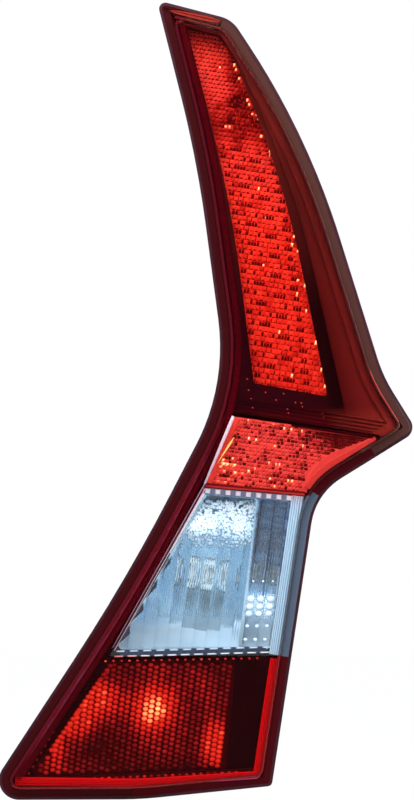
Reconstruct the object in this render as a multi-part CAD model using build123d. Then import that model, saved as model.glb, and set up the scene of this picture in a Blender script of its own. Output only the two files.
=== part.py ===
import math
import os

from build123d import *

# Sizes are in millimetres. +X runs outboard, +Z up and +Y forward into the vehicle, so the lens faces -Y.
# The origin is the root of the middle fixing stud, on the face that seats against the body.

# Outlines: corner points (x, z, radius)
SILHOUETTE = [
    (-89.8, 386.1, 5.5),
    (-25.5, 369.3, 26.0),
    (38.8, 271.1, 650.0),
    (103.3, 64.6, 125.0),
    (132.6, 17.8, 10.5),
    (45.9, -35.7, 54.0),
    (8.5, -284.8, 4.5),
    (-103.7, -295.8, 340.0),
    (-238.0, -295.8, 17.0),
    (-115.6, -108.8, 1600.0),
    (-29.8, 56.9, 180.0),
    (-55.2, 248.2, 1000.0),
]
TAIL_WINDOW = [
    (-64.6, 360.8, 2.0),
    (-37.5, 354.5, 5.0),
    (-23.5, 335.5, 60.0),
    (20.4, 223.1, 800.0),
    (55.7, 47.2, 2.0),
    (-6.8, 58.6, 2.0),
    (-28.1, 226.1, 1200.0),
]
TAIL_RECESS = [
    (-68.9, 364.8, 3.0),
    (-36.5, 357.0, 6.0),
    (-21.5, 335.5, 60.0),
    (27.5, 226.1, 700.0),
    (69.5, 37.4, 3.0),
    (-10.2, 49.3, 3.0),
    (-33.2, 224.4, 1200.0),
]
REFLEX_ZONE = [
    (-24.6, 30.6, 2.0),
    (108.0, 12.0, 2.0),
    (44.0, -13.5, 34.0),
    (37.5, -36.5, 2.0),
    (-50.1, -28.9, 2.0),
]
OPTIC_ZONE = [(-46.8, -36.5, 2.0), (21.8, -42.2, 2.0), (5.0, -166.0, 2.0), (-121.5, -166.0, 2.0)]
CLEAR_ZONE = [(-50.6, -30.2), (80.0, -41.6), (60.0, -173.4), (-129.6, -173.4)]
MAIN_BOWL_ZONE = [(-46.8, -36.5, 2.0), (-5.1, -40.0, 2.0), (-20.4, -166.0, 2.0), (-121.5, -166.0, 2.0)]
SIDE_BOWL_ZONE = [(-2.5, -40.2, 2.0), (21.8, -42.2, 2.0), (5.0, -166.0, 2.0), (-17.8, -166.0, 2.0)]
FOG_BOWL_ZONE = [(-128.2, -179.4, 3.0), (-24.7, -179.4, 2.0), (-32.0, -268.5, 2.0), (-195.5, -274.5, 3.0)]
SIGNAL_STRIP = [(24.2, -40.0, 0.0), (60.0, -44.0, 0.0), (40.0, -171.6, 0.0), (7.4, -171.6, 0.0)]
FOG_STRIP = [
    (7.0, -175.4, 0.0),
    (40.0, -175.4, 0.0),
    (30.0, -320.0, 0.0),
    (-230.0, -320.0, 0.0),
    (-202.5, -277.3, 0.0),
    (-4.6, -269.2, 0.0),
]
CARRIER_SHAPE = [
    (-74.0, -72.0, 10.0),
    (-22.0, -72.0, 10.0),
    (-22.0, -128.0, 25.0),
    (-66.0, -256.0, 10.0),
    (-142.0, -256.0, 10.0),
]

# Cuts that divide the lamp: everything on one side of a line belongs to one piece
ARM_REGION = [(-150.0, 53.9), (200.0, -1.6), (200.0, 450.0), (-150.0, 450.0)]
LOWER_REGION = [
    (-260.0, 54.2),
    (-160.0, 54.2),
    (-26.2, 33.0),
    (-52.2, -30.2),
    (150.0, -48.0),
    (150.0, -330.0),
    (-260.0, -330.0),
]
BEAD_REGION = [(-300.0, 70.0), (0.0, 70.0), (-47.0, -60.0), (-176.0, -260.0), (-300.0, -260.0)]
DEEP_REGION = [(-95.0, 31.0), (50.0, 21.0), (44.0, -45.0), (60.0, -330.0), (-280.0, -330.0), (-280.0, -126.0)]

# Front surface: a shallow barrel that wraps round the corner of the vehicle
LEAN = 17.0
FRONT_Y = -100.0
BARREL_RADIUS = 1500.0
BARREL_MIDDLE = 15.0
BARREL_HALF_ANGLE = 17.0
SWEEP_BACK = 4.0
WRAP_START = 86.0
WRAP_RADIUS = 52.0
WRAP_ANGLE = 54.0

# Outer shell
LIP = 2.5
LENS_FLANGE = 6.5
LENS_WALL = 3.0
FLANGE_SET_BACK = 11.0
LENS_EDGE_RADIUS = 6.0
CORNER_SPARE = 1.0
RIM_THICKNESS = 3.0
SHELL_INSET = 8.0
SHELL_WALL = 2.5
ARM_DEPTH = 52.0
BACK_Y = -12.0
TRIM_GAP = 0.6
FIT_GAP = 0.4

# Inner trim
BEZEL_DEPTH = 7.0
BEZEL_THICKNESS = 2.0
BEAD_WIDTH = 6.5
BEAD_DEPTH = 4.6
RIDGE_COUNT = 4
RIDGE_PITCH = 3.2
RIDGE_WIDTH = 1.5
RIDGE_HEIGHT = 1.4
RIDGE_OFFSET = 3.0
RECESS_DEPTH = 15.0
RECESS_WALL = 1.8
PRISM_DEPTH = 21.0
PRISM_BASE = 2.6
PRISM_TOOTH = 1.6
PRISM_CREST_SHARE = 0.7
PRISM_PITCH = 4.6
PRISM_TILT = 9.0
PRISM_FOOT = (24.5, 53.0)
PRISM_HEAD = (-47.0, 359.0)
PRISM_OVERRUN = 14.0
SPINE_STEPS = 8
PANEL_MARGIN = 3.0
TROUGH_ROOM = 8.0
TROUGH_WALL = 2.0
REFLEX_DEPTH = 5.0
REFLEX_THICKNESS = 3.0
STRIP_DEPTH = 4.5
PLATE_THICKNESS = 2.0
PLATE_SPLIT = -172.4
REFLECTOR_WALL = 2.0
BOWL_SHIFT = 3.0
OPTIC_MARGIN = 1.5
FLUTE_DEPTH = 5.6
FLUTE_PITCH = 10.8
FLUTE_RISE = 1.6
FLUTE_COUNT = 18
FLUTE_STOCK = 20.0
FLUTE_HEAD = (-32.0, -38.0)
FLUTE_FOOT = (-49.0, -167.0)
FLUTE_LEFT = (-90.0, -97.0)
FLUTE_RIGHT = (10.0, -110.0)
FOG_OPTIC_DEPTH = 6.0

# Lamps
BULB_RADIUS = 13.25
BULB_NECK = 6.5
CAP_RADIUS = 7.5
CAP_LENGTH = 17.0
CAP_SET_BACK = 20.0
BULB_HOLE = 14.5
REVERSE_BULB = (-48.4, -104.5)
FOG_BULB = (-98.0, -222.0)
REVERSE_FOCUS_Y = -55.0
FOG_FOCUS_Y = -53.0
BOWL_FOCUS = 16.0
BOWL_RADIUS = 48.0
DISH_RADIUS = 128.0
DISH_RISE = 30.0
TURN_BULB = (2.7, -104.0)
TURN_APEX_Y = -50.0
TURN_FOCUS = 24.0
TURN_RADIUS = 66.0
TURN_HOLE = 9.5
TURN_BULB_RADIUS = 7.5
TURN_BULB_LENGTH = 34.0
TAIL_BULBS = {"upper_tail": (2.0, 208.0), "lower_tail": (22.0, 112.0)}
TAIL_BULB_RADIUS = 5.0
TAIL_BULB_LENGTH = 24.0
TAIL_HOLE = 9.0
WEDGE_GRIP = 7.0

# Carrier, holders and connector
CARRIER_THICKNESS = 3.0
GASKET_THICKNESS = 1.5
GASKET_INSET = 1.0
GASKET_WIDTH = 5.0
CARRIER_OVERLAP = 8.0
CUP_WALL = 2.2
CUP_LEAD = 3.0
GRIP_PLACE = (-105.0, -242.0)
GRIP_SIZE = (30.0, 9.0, 3.0)
SOCKET_RADIUS = 11.0
SOCKET_FLANGE = 14.0
SOCKET_FLANGE_THICKNESS = 3.0
TAIL_SOCKET_REACH = 7.5
TURN_SOCKET_REACH = 30.0
SOCKET_PAD = 3.0
SOCKET_PAD_MARGIN = 2.0
WING_SIZE = (22.0, 9.0, 4.0)
TERMINAL_SIZE = (0.8, 10.0, 4.8)
SEAL_THICKNESS = 1.6
CONNECTOR_CENTRE = (-70.0, -160.0)
CONNECTOR_WIDTH = 30.0
CONNECTOR_HEIGHT = 18.0
CONNECTOR_LENGTH = 20.0
CONNECTOR_WALL = 2.0
BLADE_COUNT = 4
BLADE_WIDTH = 2.8
BLADE_THICKNESS = 0.8
BLADE_PITCH = 5.6
BLADE_LENGTH = 12.0
TRACK_WIDTH = 5.0
TRACK_THICKNESS = 0.6

# Fixings
STUD_RADIUS = 3.0
STUD_LENGTH = 24.0
STUD_ROOT = 9.0
STUD_ROOT_RADIUS = 4.0
STUD_POINT = 1.0
BOSS_RADIUS = 8.5
STUDS = {"upper_stud": (-22.0, 274.0), "middle_stud": (0.0, 0.0), "lower_stud": (-17.0, -248.0)}
LOCATING_PIN = (40.0, 158.0)
PIN_RADIUS = 4.0
PIN_LENGTH = 14.0
PIN_SEAT_Y = -10.0
POST_RADIUS = 4.0
BEZEL_POSTS = [(52.0, 160.0), (83.0, 50.0), (10.0, 37.5)]
TROUGH_POSTS = [(14.0, 158.0), (-22.0, 300.0)]
REFLEX_POSTS = [(-22.0, -5.0), (30.0, 2.0)]
PLATE_POSTS = [(-86.0, -88.0), (-128.5, -160.0), (-174.5, -230.0), (-14.0, -212.0)]
FOAM_WIDTH = 7.0
FOAM_INSET = 1.5
VENT_RADIUS = 7.0
VENT_HEIGHT = 7.0
VENT_SPIGOT = 3.0
VENTS = [(-168.0, -252.0), (-32.0, -24.0)]
DEEP_TOP = 15.0
RIB_PLACES = [70.0, 120.0, 165.0, 235.0, 320.0]
BACK_RIBS = [
    ((-58.0, -50.0), (22.0, -56.0)),
    ((-24.0, -150.0), (9.0, -150.0)),
    ((-42.0, -200.0), (2.0, -200.0)),
    ((-146.0, -190.0), (-121.0, -190.0)),
]
CARRIER_HOOKS = [((-48.0, -72.0), 1), ((-104.0, -256.0), -1)]
HOOK_SIZE = (14.0, 4.0)
RIB_HEIGHT = 5.0
RIB_THICKNESS = 2.0

UP_THE_ARM = Vector(-math.sin(math.radians(LEAN)), 0, math.cos(math.radians(LEAN)))
ACROSS_THE_ARM = Vector(math.cos(math.radians(LEAN)), 0, math.sin(math.radians(LEAN)))

# Reach of the cutting solids, past every corner of the lamp
HEIGHT = max(z for _, z, _ in SILHOUETTE) - min(z for _, z, _ in SILHOUETTE)
NEAR_Y = FRONT_Y - HEIGHT / 10
FAR_Y = HEIGHT / 10

# Y of a face's normal, by which a front or a side is told
FRONT_FACING = -0.3
SIDE_FACING = 0.05


def lens_y(x, z):
    """Y of the front surface at a place on its flat side, before the wrap."""
    across = x * ACROSS_THE_ARM.X + z * ACROSS_THE_ARM.Z
    up = x * UP_THE_ARM.X + z * UP_THE_ARM.Z - BARREL_MIDDLE
    bow = BARREL_RADIUS - math.sqrt(BARREL_RADIUS**2 - up**2)
    return FRONT_Y + (across - WRAP_START) * math.tan(math.radians(SWEEP_BACK)) + bow


def outline(corners, inset=0.0, least=1.5):
    """Closed face in the XZ plane from corners (x, z, radius), taken in by inset, no corner under least."""
    corners = [corner if len(corner) == 3 else (*corner, 0.0) for corner in corners]
    count = len(corners)
    area = sum(
        corners[i][0] * corners[(i + 1) % count][1] - corners[(i + 1) % count][0] * corners[i][1]
        for i in range(count)
    )
    side = 1.0 if area > 0 else -1.0
    points = []
    radii = []
    for i in range(count):
        before = Vector(corners[i - 1][0], corners[i - 1][1])
        here = Vector(corners[i][0], corners[i][1])
        after = Vector(corners[(i + 1) % count][0], corners[(i + 1) % count][1])
        way_in = (here - before).normalized()
        way_out = (after - here).normalized()
        normal_in = Vector(-way_in.Y, way_in.X) * side
        normal_out = Vector(-way_out.Y, way_out.X) * side
        half = (normal_in + normal_out).normalized()
        points.append(here + half * (inset / half.dot(normal_in)))
        turn = (way_in.X * way_out.Y - way_in.Y * way_out.X) * side
        radius = corners[i][2]
        if radius > 0:
            radius = max(radius - inset, least) if turn > 0 else radius + inset
        radii.append(radius)
    if max(radii) > 0:
        edge = FilletPolyline(*[(p.X, p.Y) for p in points], radius=radii, close=True)
    else:
        edge = Polyline(*[(p.X, p.Y) for p in points], close=True)
    return Plane.XZ * make_face(edge)


def prism(corners, inset=0.0, front=NEAR_Y, back=FAR_Y, least=1.5):
    """Outline carried straight through the lamp from front to back."""
    return extrude(Pos(0, front, 0) * outline(corners, inset, least), amount=back - front, dir=(0, 1, 0))


def behind(depth=0.0, shift=0.0, wrapped=True):
    """Everything behind the front surface, taken in square to it by depth and moved back by shift."""
    start = math.radians(SWEEP_BACK)
    end = math.radians(SWEEP_BACK + WRAP_ANGLE)
    middle = (start + end) / 2
    bend = WRAP_RADIUS - depth
    centre = Vector(WRAP_START - WRAP_RADIUS * math.sin(start), FRONT_Y + WRAP_RADIUS * math.cos(start))
    wrap_a = centre + Vector(math.sin(start), -math.cos(start)) * bend
    wrap_m = centre + Vector(math.sin(middle), -math.cos(middle)) * bend
    wrap_b = centre + Vector(math.sin(end), -math.cos(end)) * bend
    left = wrap_a - Vector(math.cos(start), math.sin(start)) * HEIGHT
    if wrapped:
        right = wrap_b + Vector(math.cos(end), math.sin(end)) * ((BACK_Y - wrap_b.Y) / math.sin(end))
        edge = Polyline((left.X, left.Y), (wrap_a.X, wrap_a.Y))
        edge += ThreePointArc((wrap_a.X, wrap_a.Y), (wrap_m.X, wrap_m.Y), (wrap_b.X, wrap_b.Y))
        edge += Polyline((wrap_b.X, wrap_b.Y), (right.X, right.Y), (right.X, FAR_Y), (left.X, FAR_Y), (left.X, left.Y))
    else:
        right = wrap_a + Vector(math.cos(start), math.sin(start)) * HEIGHT / 4
        edge = Polyline((left.X, left.Y), (right.X, right.Y), (right.X, FAR_Y), (left.X, FAR_Y), close=True)
    section = Plane(origin=UP_THE_ARM * BARREL_MIDDLE, x_dir=ACROSS_THE_ARM, z_dir=UP_THE_ARM)
    hinge = Axis(UP_THE_ARM * BARREL_MIDDLE + Vector(0, FRONT_Y + BARREL_RADIUS, 0), ACROSS_THE_ARM)
    barrel = revolve(section * make_face(edge), hinge, 2 * BARREL_HALF_ANGLE)
    return Pos(0, shift, 0) * barrel.rotate(hinge, -BARREL_HALF_ANGLE)


def layer(depth, thickness):
    """Shell that follows the front surface."""
    return behind(depth) - behind(depth + thickness)


def rod(place, radius, front, back):
    """Round bar along Y."""
    return Pos(place[0], (front + back) / 2, place[1]) * Rot(90, 0, 0) * Cylinder(radius, abs(back - front))


def block(place, front, size):
    """Box with its front face at front, size given as (x, y, z)."""
    return Pos(place[0], front + size[1] / 2, place[1]) * Box(*size)


def bar(start, end, width, front, back):
    """Straight flat bar between two places, seen from the back."""
    a = Vector(*start)
    b = Vector(*end)
    way = (b - a).normalized() * (width / 2)
    side = Vector(-way.Y, way.X)
    corners = [a + side, b + side, b - side, a - side]
    return prism([(corner.X, corner.Y) for corner in corners], front=front, back=back)


def back_wall(place):
    """Y of the outside of the housing behind a place."""
    return BACK_Y if place[1] < DEEP_TOP else lens_y(*place) + ARM_DEPTH


def round_front(solid, radius):
    """Solid with the rim of its front face rounded."""
    fronts = [face for face in solid.faces() if face.normal_at().Y < FRONT_FACING]
    sides = [face for face in solid.faces() if abs(face.normal_at().Y) < SIDE_FACING]
    side_edges = [edge for face in sides for edge in face.edges()]
    rim = [edge for face in fronts for edge in face.edges() if any(edge.is_same(other) for other in side_edges)]
    return fillet(rim, radius)


def turned(place, profile):
    """Body of revolution about a line along Y, from points (radius, y)."""
    section = Plane(origin=(place[0], 0, place[1]), x_dir=(1, 0, 0), z_dir=(0, 0, 1))
    return revolve(section * make_face(profile), Axis((place[0], 0, place[1]), (0, 1, 0)))


def bowl(place, apex_y, focus, radius):
    """Filled dish: a parabola out to radius, then a shallow cone, closed towards the lens."""
    rise = radius**2 / (4 * focus)
    edge = Bezier((0, apex_y), (radius / 2, apex_y), (radius, apex_y - rise))
    edge += Polyline(
        (radius, apex_y - rise),
        (DISH_RADIUS, apex_y - rise - DISH_RISE),
        (DISH_RADIUS, NEAR_Y),
        (0, NEAR_Y),
        (0, apex_y),
    )
    return turned(place, edge)


def bowl_shell(zone, place, apex_y, focus, radius, hole):
    """Thin reflector bowl inside a chamber outline, with side walls and a lamp hole."""
    outside = prism(zone, -REFLECTOR_WALL) & bowl(place, apex_y + BOWL_SHIFT, focus, radius)
    inside = prism(zone) & bowl(place, apex_y, focus, radius)
    return outside - inside - rod(place, hole, NEAR_Y, FAR_Y)


def lamp_glass(place, focus_y):
    """Pear-shaped bulb, tip towards the lens."""
    neck_y = focus_y + CAP_SET_BACK
    shoulder = math.sqrt(BULB_RADIUS**2 - BULB_NECK**2)
    edge = Polyline((0, neck_y), (BULB_NECK, neck_y), (BULB_NECK, focus_y + shoulder))
    edge += ThreePointArc((BULB_NECK, focus_y + shoulder), (BULB_RADIUS, focus_y), (0, focus_y - BULB_RADIUS))
    edge += Polyline((0, focus_y - BULB_RADIUS), (0, neck_y))
    return turned(place, edge)


def wedge_lamp(place, radius, length, base_y):
    """Capless bulb: a round-ended glass tube on a flat base."""
    tip_y = base_y - length + radius
    edge = Polyline((0, base_y), (radius, base_y), (radius, tip_y))
    edge += RadiusArc((radius, tip_y), (0, tip_y - radius), radius)
    edge += Polyline((0, tip_y - radius), (0, base_y))
    return turned(place, edge)


def twist_socket(place, seat_y, reach, grip_radius):
    """Twist-in bulb holder: neck through the wall, flange behind its seal, finger wing."""
    flange_y = seat_y + SEAL_THICKNESS
    holder = rod(place, SOCKET_RADIUS, seat_y - reach, flange_y)
    holder += rod(place, SOCKET_FLANGE, flange_y, flange_y + SOCKET_FLANGE_THICKNESS)
    holder += block(place, flange_y + SOCKET_FLANGE_THICKNESS, WING_SIZE)
    return holder - rod(place, grip_radius, seat_y - reach, seat_y - reach + WEDGE_GRIP)


def socket_terminals(place, seat_y):
    """Pair of flat blades behind a holder."""
    back_y = seat_y + SEAL_THICKNESS + SOCKET_FLANGE_THICKNESS
    offset = (WING_SIZE[2] + TERMINAL_SIZE[2]) / 2
    above = block((place[0], place[1] + offset), back_y, TERMINAL_SIZE)
    below = block((place[0], place[1] - offset), back_y, TERMINAL_SIZE)
    return [above, below]


def save(shape, name):
    export_step(shape, f"parts/{name}.step")


os.makedirs("parts", exist_ok=True)

body_inset = LIP + LENS_FLANGE
inner_inset = body_inset + LENS_WALL
trim_inset = inner_inset + TRIM_GAP
plate_depth = BEZEL_DEPTH + BEZEL_THICKNESS
inner_corner = LENS_EDGE_RADIUS - LENS_WALL + CORNER_SPARE
trough_depth = ARM_DEPTH - TROUGH_ROOM
trim = prism(SILHOUETTE, trim_inset, least=inner_corner)

# Lens: a raised body on a set-back flange, moulded in red and clear
outer_corner = LENS_EDGE_RADIUS + CORNER_SPARE
body = prism(SILHOUETTE, body_inset, least=outer_corner) & (behind() - behind(shift=FLANGE_SET_BACK))
body = round_front(body, LENS_EDGE_RADIUS)
flange = prism(SILHOUETTE, LIP) - prism(SILHOUETTE, inner_inset, least=inner_corner)
flange &= behind(shift=FLANGE_SET_BACK - LENS_WALL) - behind(shift=FLANGE_SET_BACK)
hollow = prism(SILHOUETTE, inner_inset, least=inner_corner) & behind(LENS_WALL)
lens = body + flange - hollow
clear_cut = prism(CLEAR_ZONE)
save(lens - clear_cut, "lens_red")
save(lens & clear_cut, "lens_clear")

# Housing: welding rim, shallow arm, deep lower box, bosses, posts and openings
shell_inner = SHELL_INSET + SHELL_WALL
arm_back = behind(shift=ARM_DEPTH, wrapped=False)
rim = prism(SILHOUETTE) & (behind(shift=FLANGE_SET_BACK) - behind(shift=FLANGE_SET_BACK + RIM_THICKNESS))
deep_box = prism(SILHOUETTE, SHELL_INSET, back=BACK_Y) & prism(DEEP_REGION)
housing = (prism(SILHOUETTE, SHELL_INSET) - arm_back + deep_box) & behind(shift=FLANGE_SET_BACK)
housing += rim
socket_seats = {name: lens_y(*place) + ARM_DEPTH + SOCKET_PAD for name, place in TAIL_BULBS.items()}
for name, place in TAIL_BULBS.items():
    housing += rod(place, SOCKET_FLANGE + SOCKET_PAD_MARGIN, socket_seats[name] - 2 * SOCKET_PAD, socket_seats[name])
for place in STUDS.values():
    housing += rod(place, BOSS_RADIUS, back_wall(place) - SHELL_WALL, 0)
housing += rod(LOCATING_PIN, BOSS_RADIUS, back_wall(LOCATING_PIN) - SHELL_WALL, PIN_SEAT_Y)
housing += rod(LOCATING_PIN, PIN_RADIUS, PIN_SEAT_Y, PIN_SEAT_Y + PIN_LENGTH)
rib_band = prism(SILHOUETTE, SHELL_INSET) & (arm_back - behind(shift=ARM_DEPTH + RIB_HEIGHT, wrapped=False))
for height in RIB_PLACES:
    middle = UP_THE_ARM * height + ACROSS_THE_ARM * WRAP_START
    slab = Box(2 * WRAP_START, HEIGHT, RIB_THICKNESS)
    housing += rib_band & (Pos(middle) * Rot(0, -LEAN, 0) * slab)
for start, end in BACK_RIBS:
    housing += bar(start, end, RIB_THICKNESS, BACK_Y, BACK_Y + RIB_HEIGHT)
hook_y = BACK_Y + GASKET_THICKNESS + CARRIER_THICKNESS
for (x, z), side in CARRIER_HOOKS:
    stem = (x, z + side * (FIT_GAP + HOOK_SIZE[1] / 2))
    housing += block(stem, BACK_Y, (HOOK_SIZE[0], hook_y - BACK_Y + HOOK_SIZE[1], HOOK_SIZE[1]))
    housing += block((x, z), hook_y, (HOOK_SIZE[0], HOOK_SIZE[1], 2 * HOOK_SIZE[1]))
housing -= prism(SILHOUETTE, shell_inner) - behind(shift=ARM_DEPTH - SHELL_WALL, wrapped=False)
housing -= prism(SILHOUETTE, shell_inner, back=BACK_Y - SHELL_WALL) & prism(DEEP_REGION, SHELL_WALL)
rests = [
    (BEZEL_POSTS, behind(plate_depth)),
    (TROUGH_POSTS, behind(shift=trough_depth, wrapped=False)),
    (REFLEX_POSTS, behind(REFLEX_DEPTH + REFLEX_THICKNESS)),
    (PLATE_POSTS, behind(plate_depth + PLATE_THICKNESS)),
]
for places, room in rests:
    for place in places:
        housing += rod(place, POST_RADIUS, NEAR_Y, back_wall(place) - SHELL_WALL / 2) & room
housing -= prism(CARRIER_SHAPE, CARRIER_OVERLAP, front=BACK_Y - 2 * SHELL_WALL, back=FAR_Y)
housing -= rod(TURN_BULB, SOCKET_RADIUS + FIT_GAP, BACK_Y - 2 * SHELL_WALL, FAR_Y)
for name, place in TAIL_BULBS.items():
    housing -= rod(place, SOCKET_RADIUS + FIT_GAP, socket_seats[name] - 4 * SOCKET_PAD, FAR_Y)
for place in STUDS.values():
    housing -= rod(place, STUD_ROOT_RADIUS, -STUD_ROOT, FAR_Y)
for place in VENTS:
    housing -= rod(place, VENT_SPIGOT, BACK_Y - 2 * SHELL_WALL, FAR_Y)
save(housing, "housing")

# Upper arm: dark mask with a stepped recess, ribbed prism plate and the trough behind it
arm_bezel = (trim & prism(ARM_REGION) & layer(BEZEL_DEPTH, BEZEL_THICKNESS)) - prism(TAIL_RECESS)
recess_back = behind(shift=RECESS_DEPTH + BEZEL_THICKNESS)
recess_wall = prism(TAIL_RECESS, -RECESS_WALL) & (behind(BEZEL_DEPTH) - recess_back)
arm_bezel += recess_wall - (prism(TAIL_RECESS) - behind(shift=RECESS_DEPTH)) - prism(TAIL_WINDOW)
bead = (trim - prism(SILHOUETTE, trim_inset + BEAD_WIDTH)) & layer(BEAD_DEPTH, plate_depth - BEAD_DEPTH)
arm_bezel += (bead & prism(ARM_REGION)) - prism(TAIL_RECESS)
ridge_layer = trim & layer(BEZEL_DEPTH - RIDGE_HEIGHT, RIDGE_HEIGHT + BEZEL_THICKNESS)
ridge_start = Vector(*ARM_REGION[0])
ridge_end = Vector(*ARM_REGION[1])
for i in range(RIDGE_COUNT):
    up = Vector(0, RIDGE_OFFSET + i * RIDGE_PITCH)
    line = bar(ridge_start + up, ridge_end + up, RIDGE_WIDTH, NEAR_Y, FAR_Y)
    arm_bezel += (line & ridge_layer) - prism(TAIL_RECESS)
save(arm_bezel, "arm_bezel")

tilt = math.radians(PRISM_TILT)
row_up = Vector(math.sin(tilt), 0, math.cos(tilt))
row_plane = Plane(origin=(0, 0, 0), x_dir=row_up, z_dir=(-math.cos(tilt), 0, math.sin(tilt)))
foot = Vector(PRISM_FOOT[0], 0, PRISM_FOOT[1])
head = Vector(PRISM_HEAD[0], 0, PRISM_HEAD[1])
first = foot.dot(row_up) - PRISM_OVERRUN
last = head.dot(row_up) + PRISM_OVERRUN
row_count = math.ceil((last - first) / PRISM_PITCH)


def panel_y(row):
    """Y of the prism plate on its middle line at a height along the rows."""
    share = (row - foot.dot(row_up)) / (head - foot).dot(row_up)
    place = foot + (head - foot) * share
    return lens_y(place.X, place.Z) + PRISM_DEPTH


teeth = []
for i in range(row_count):
    row = first + i * PRISM_PITCH
    teeth.append((row, panel_y(row)))
    teeth.append((row + PRISM_CREST_SHARE * PRISM_PITCH, panel_y(row) - PRISM_TOOTH))
top_row = first + row_count * PRISM_PITCH
spine_rows = [top_row - i * (top_row - first) / SPINE_STEPS for i in range(SPINE_STEPS + 1)]
spine = [(row, panel_y(row) + PRISM_BASE) for row in spine_rows]
plate_section = make_face(Polyline(*teeth, (top_row, panel_y(top_row)), *spine, close=True))
trough_section = make_face(Polyline(*spine, (first, FAR_Y), (top_row, FAR_Y), close=True))
plate = extrude(row_plane * plate_section, amount=HEIGHT / 2, both=True)
save(prism(TAIL_WINDOW, -PANEL_MARGIN) & plate, "tail_prism_panel")
trough_room = extrude(row_plane * trough_section, amount=HEIGHT / 2, both=True)
tail_reflector = prism(TAIL_WINDOW, -PANEL_MARGIN) & trough_room
tail_reflector -= behind(shift=trough_depth, wrapped=False)
tail_reflector -= prism(TAIL_WINDOW, TROUGH_WALL - PANEL_MARGIN) - behind(
    shift=trough_depth - TROUGH_WALL, wrapped=False
)
for place in TAIL_BULBS.values():
    tail_reflector -= rod(place, TAIL_HOLE, NEAR_Y, FAR_Y)
save(tail_reflector, "tail_reflector")

# Waist: retro-reflecting plate close behind the lens
save(trim & prism(REFLEX_ZONE) & layer(REFLEX_DEPTH, REFLEX_THICKNESS), "reflex_panel")

# Lower body: dark mask on two metallised reflectors, with a bright rib along the outer edge
lower = trim & prism(LOWER_REGION)
lower_bezel = (lower & layer(BEZEL_DEPTH, BEZEL_THICKNESS)) + (lower & bead & prism(BEAD_REGION))
for zone in (OPTIC_ZONE, FOG_BOWL_ZONE):
    lower_bezel -= prism(zone, -OPTIC_MARGIN - FIT_GAP)
for zone in (SIGNAL_STRIP, FOG_STRIP):
    lower_bezel -= prism(zone, -FIT_GAP)
save(lower_bezel, "lower_bezel")

plate_layer = layer(plate_depth, PLATE_THICKNESS)
half_space = Box(2 * HEIGHT, HEIGHT, HEIGHT)
above_split = Pos(0, 0, PLATE_SPLIT + FIT_GAP + HEIGHT / 2) * half_space
below_split = Pos(0, 0, PLATE_SPLIT - FIT_GAP - HEIGHT / 2) * half_space
strip_layer = behind(STRIP_DEPTH) - behind(plate_depth + PLATE_THICKNESS)
reverse_apex_y = REVERSE_FOCUS_Y + BOWL_FOCUS
fog_apex_y = FOG_FOCUS_Y + BOWL_FOCUS
signal_reflector = (lower & plate_layer & above_split) - prism(MAIN_BOWL_ZONE) - prism(SIDE_BOWL_ZONE)
signal_reflector += trim & prism(SIGNAL_STRIP) & strip_layer
main_bowl = bowl_shell(MAIN_BOWL_ZONE, REVERSE_BULB, reverse_apex_y, BOWL_FOCUS, BOWL_RADIUS, BULB_HOLE)
side_bowl = bowl_shell(SIDE_BOWL_ZONE, TURN_BULB, TURN_APEX_Y, TURN_FOCUS, TURN_RADIUS, TURN_HOLE)
signal_reflector += (main_bowl + side_bowl) & behind(plate_depth)
signal_reflector -= prism(MAIN_BOWL_ZONE) & bowl(REVERSE_BULB, reverse_apex_y, BOWL_FOCUS, BOWL_RADIUS)
signal_reflector -= prism(SIDE_BOWL_ZONE) & bowl(TURN_BULB, TURN_APEX_Y, TURN_FOCUS, TURN_RADIUS)
save(signal_reflector, "signal_reflector")
fog_reflector = (lower & plate_layer & below_split) - prism(FOG_BOWL_ZONE)
fog_reflector += trim & prism(FOG_STRIP) & strip_layer & below_split
fog_bowl = bowl_shell(FOG_BOWL_ZONE, FOG_BULB, fog_apex_y, BOWL_FOCUS, BOWL_RADIUS, BULB_HOLE)
fog_reflector += fog_bowl & behind(plate_depth)
save(fog_reflector, "fog_reflector")

# Optic plates: round-fronted upright flutes over the signal chamber, a plain sheet over the fog chamber


def flute_point(place):
    """Place on the crest level of the flutes."""
    return Vector(place[0], lens_y(*place) + FLUTE_DEPTH, place[1])


flute_way = (flute_point(FLUTE_FOOT) - flute_point(FLUTE_HEAD)).normalized()
across = flute_point(FLUTE_RIGHT) - flute_point(FLUTE_LEFT)
across = (across - flute_way * across.dot(flute_way)).normalized()
flute_middle = ((FLUTE_HEAD[0] + FLUTE_FOOT[0]) / 2, (FLUTE_HEAD[1] + FLUTE_FOOT[1]) / 2)
flute_plane = Plane(origin=flute_point(flute_middle), x_dir=across, z_dir=flute_way)
depth_sign = 1.0 if flute_plane.y_dir.Y > 0 else -1.0
flute_edge = None
left_end = -FLUTE_PITCH * FLUTE_COUNT / 2
for i in range(FLUTE_COUNT):
    start = left_end + i * FLUTE_PITCH
    crest = (start + FLUTE_PITCH / 2, 0)
    arc = ThreePointArc(
        (start, depth_sign * FLUTE_RISE), crest, (start + FLUTE_PITCH, depth_sign * FLUTE_RISE)
    )
    flute_edge = arc if flute_edge is None else flute_edge + arc
right_end = left_end + FLUTE_COUNT * FLUTE_PITCH
flute_edge += Polyline(
    (right_end, depth_sign * FLUTE_RISE),
    (right_end, depth_sign * FLUTE_STOCK),
    (left_end, depth_sign * FLUTE_STOCK),
    (left_end, depth_sign * FLUTE_RISE),
)
fluted = extrude(flute_plane * make_face(flute_edge), amount=HEIGHT / 2, both=True)
save((prism(OPTIC_ZONE, -OPTIC_MARGIN) & fluted) - behind(plate_depth), "signal_optic")
save(prism(FOG_BOWL_ZONE, -OPTIC_MARGIN) & layer(FOG_OPTIC_DEPTH, plate_depth - FOG_OPTIC_DEPTH), "fog_optic")

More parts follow.
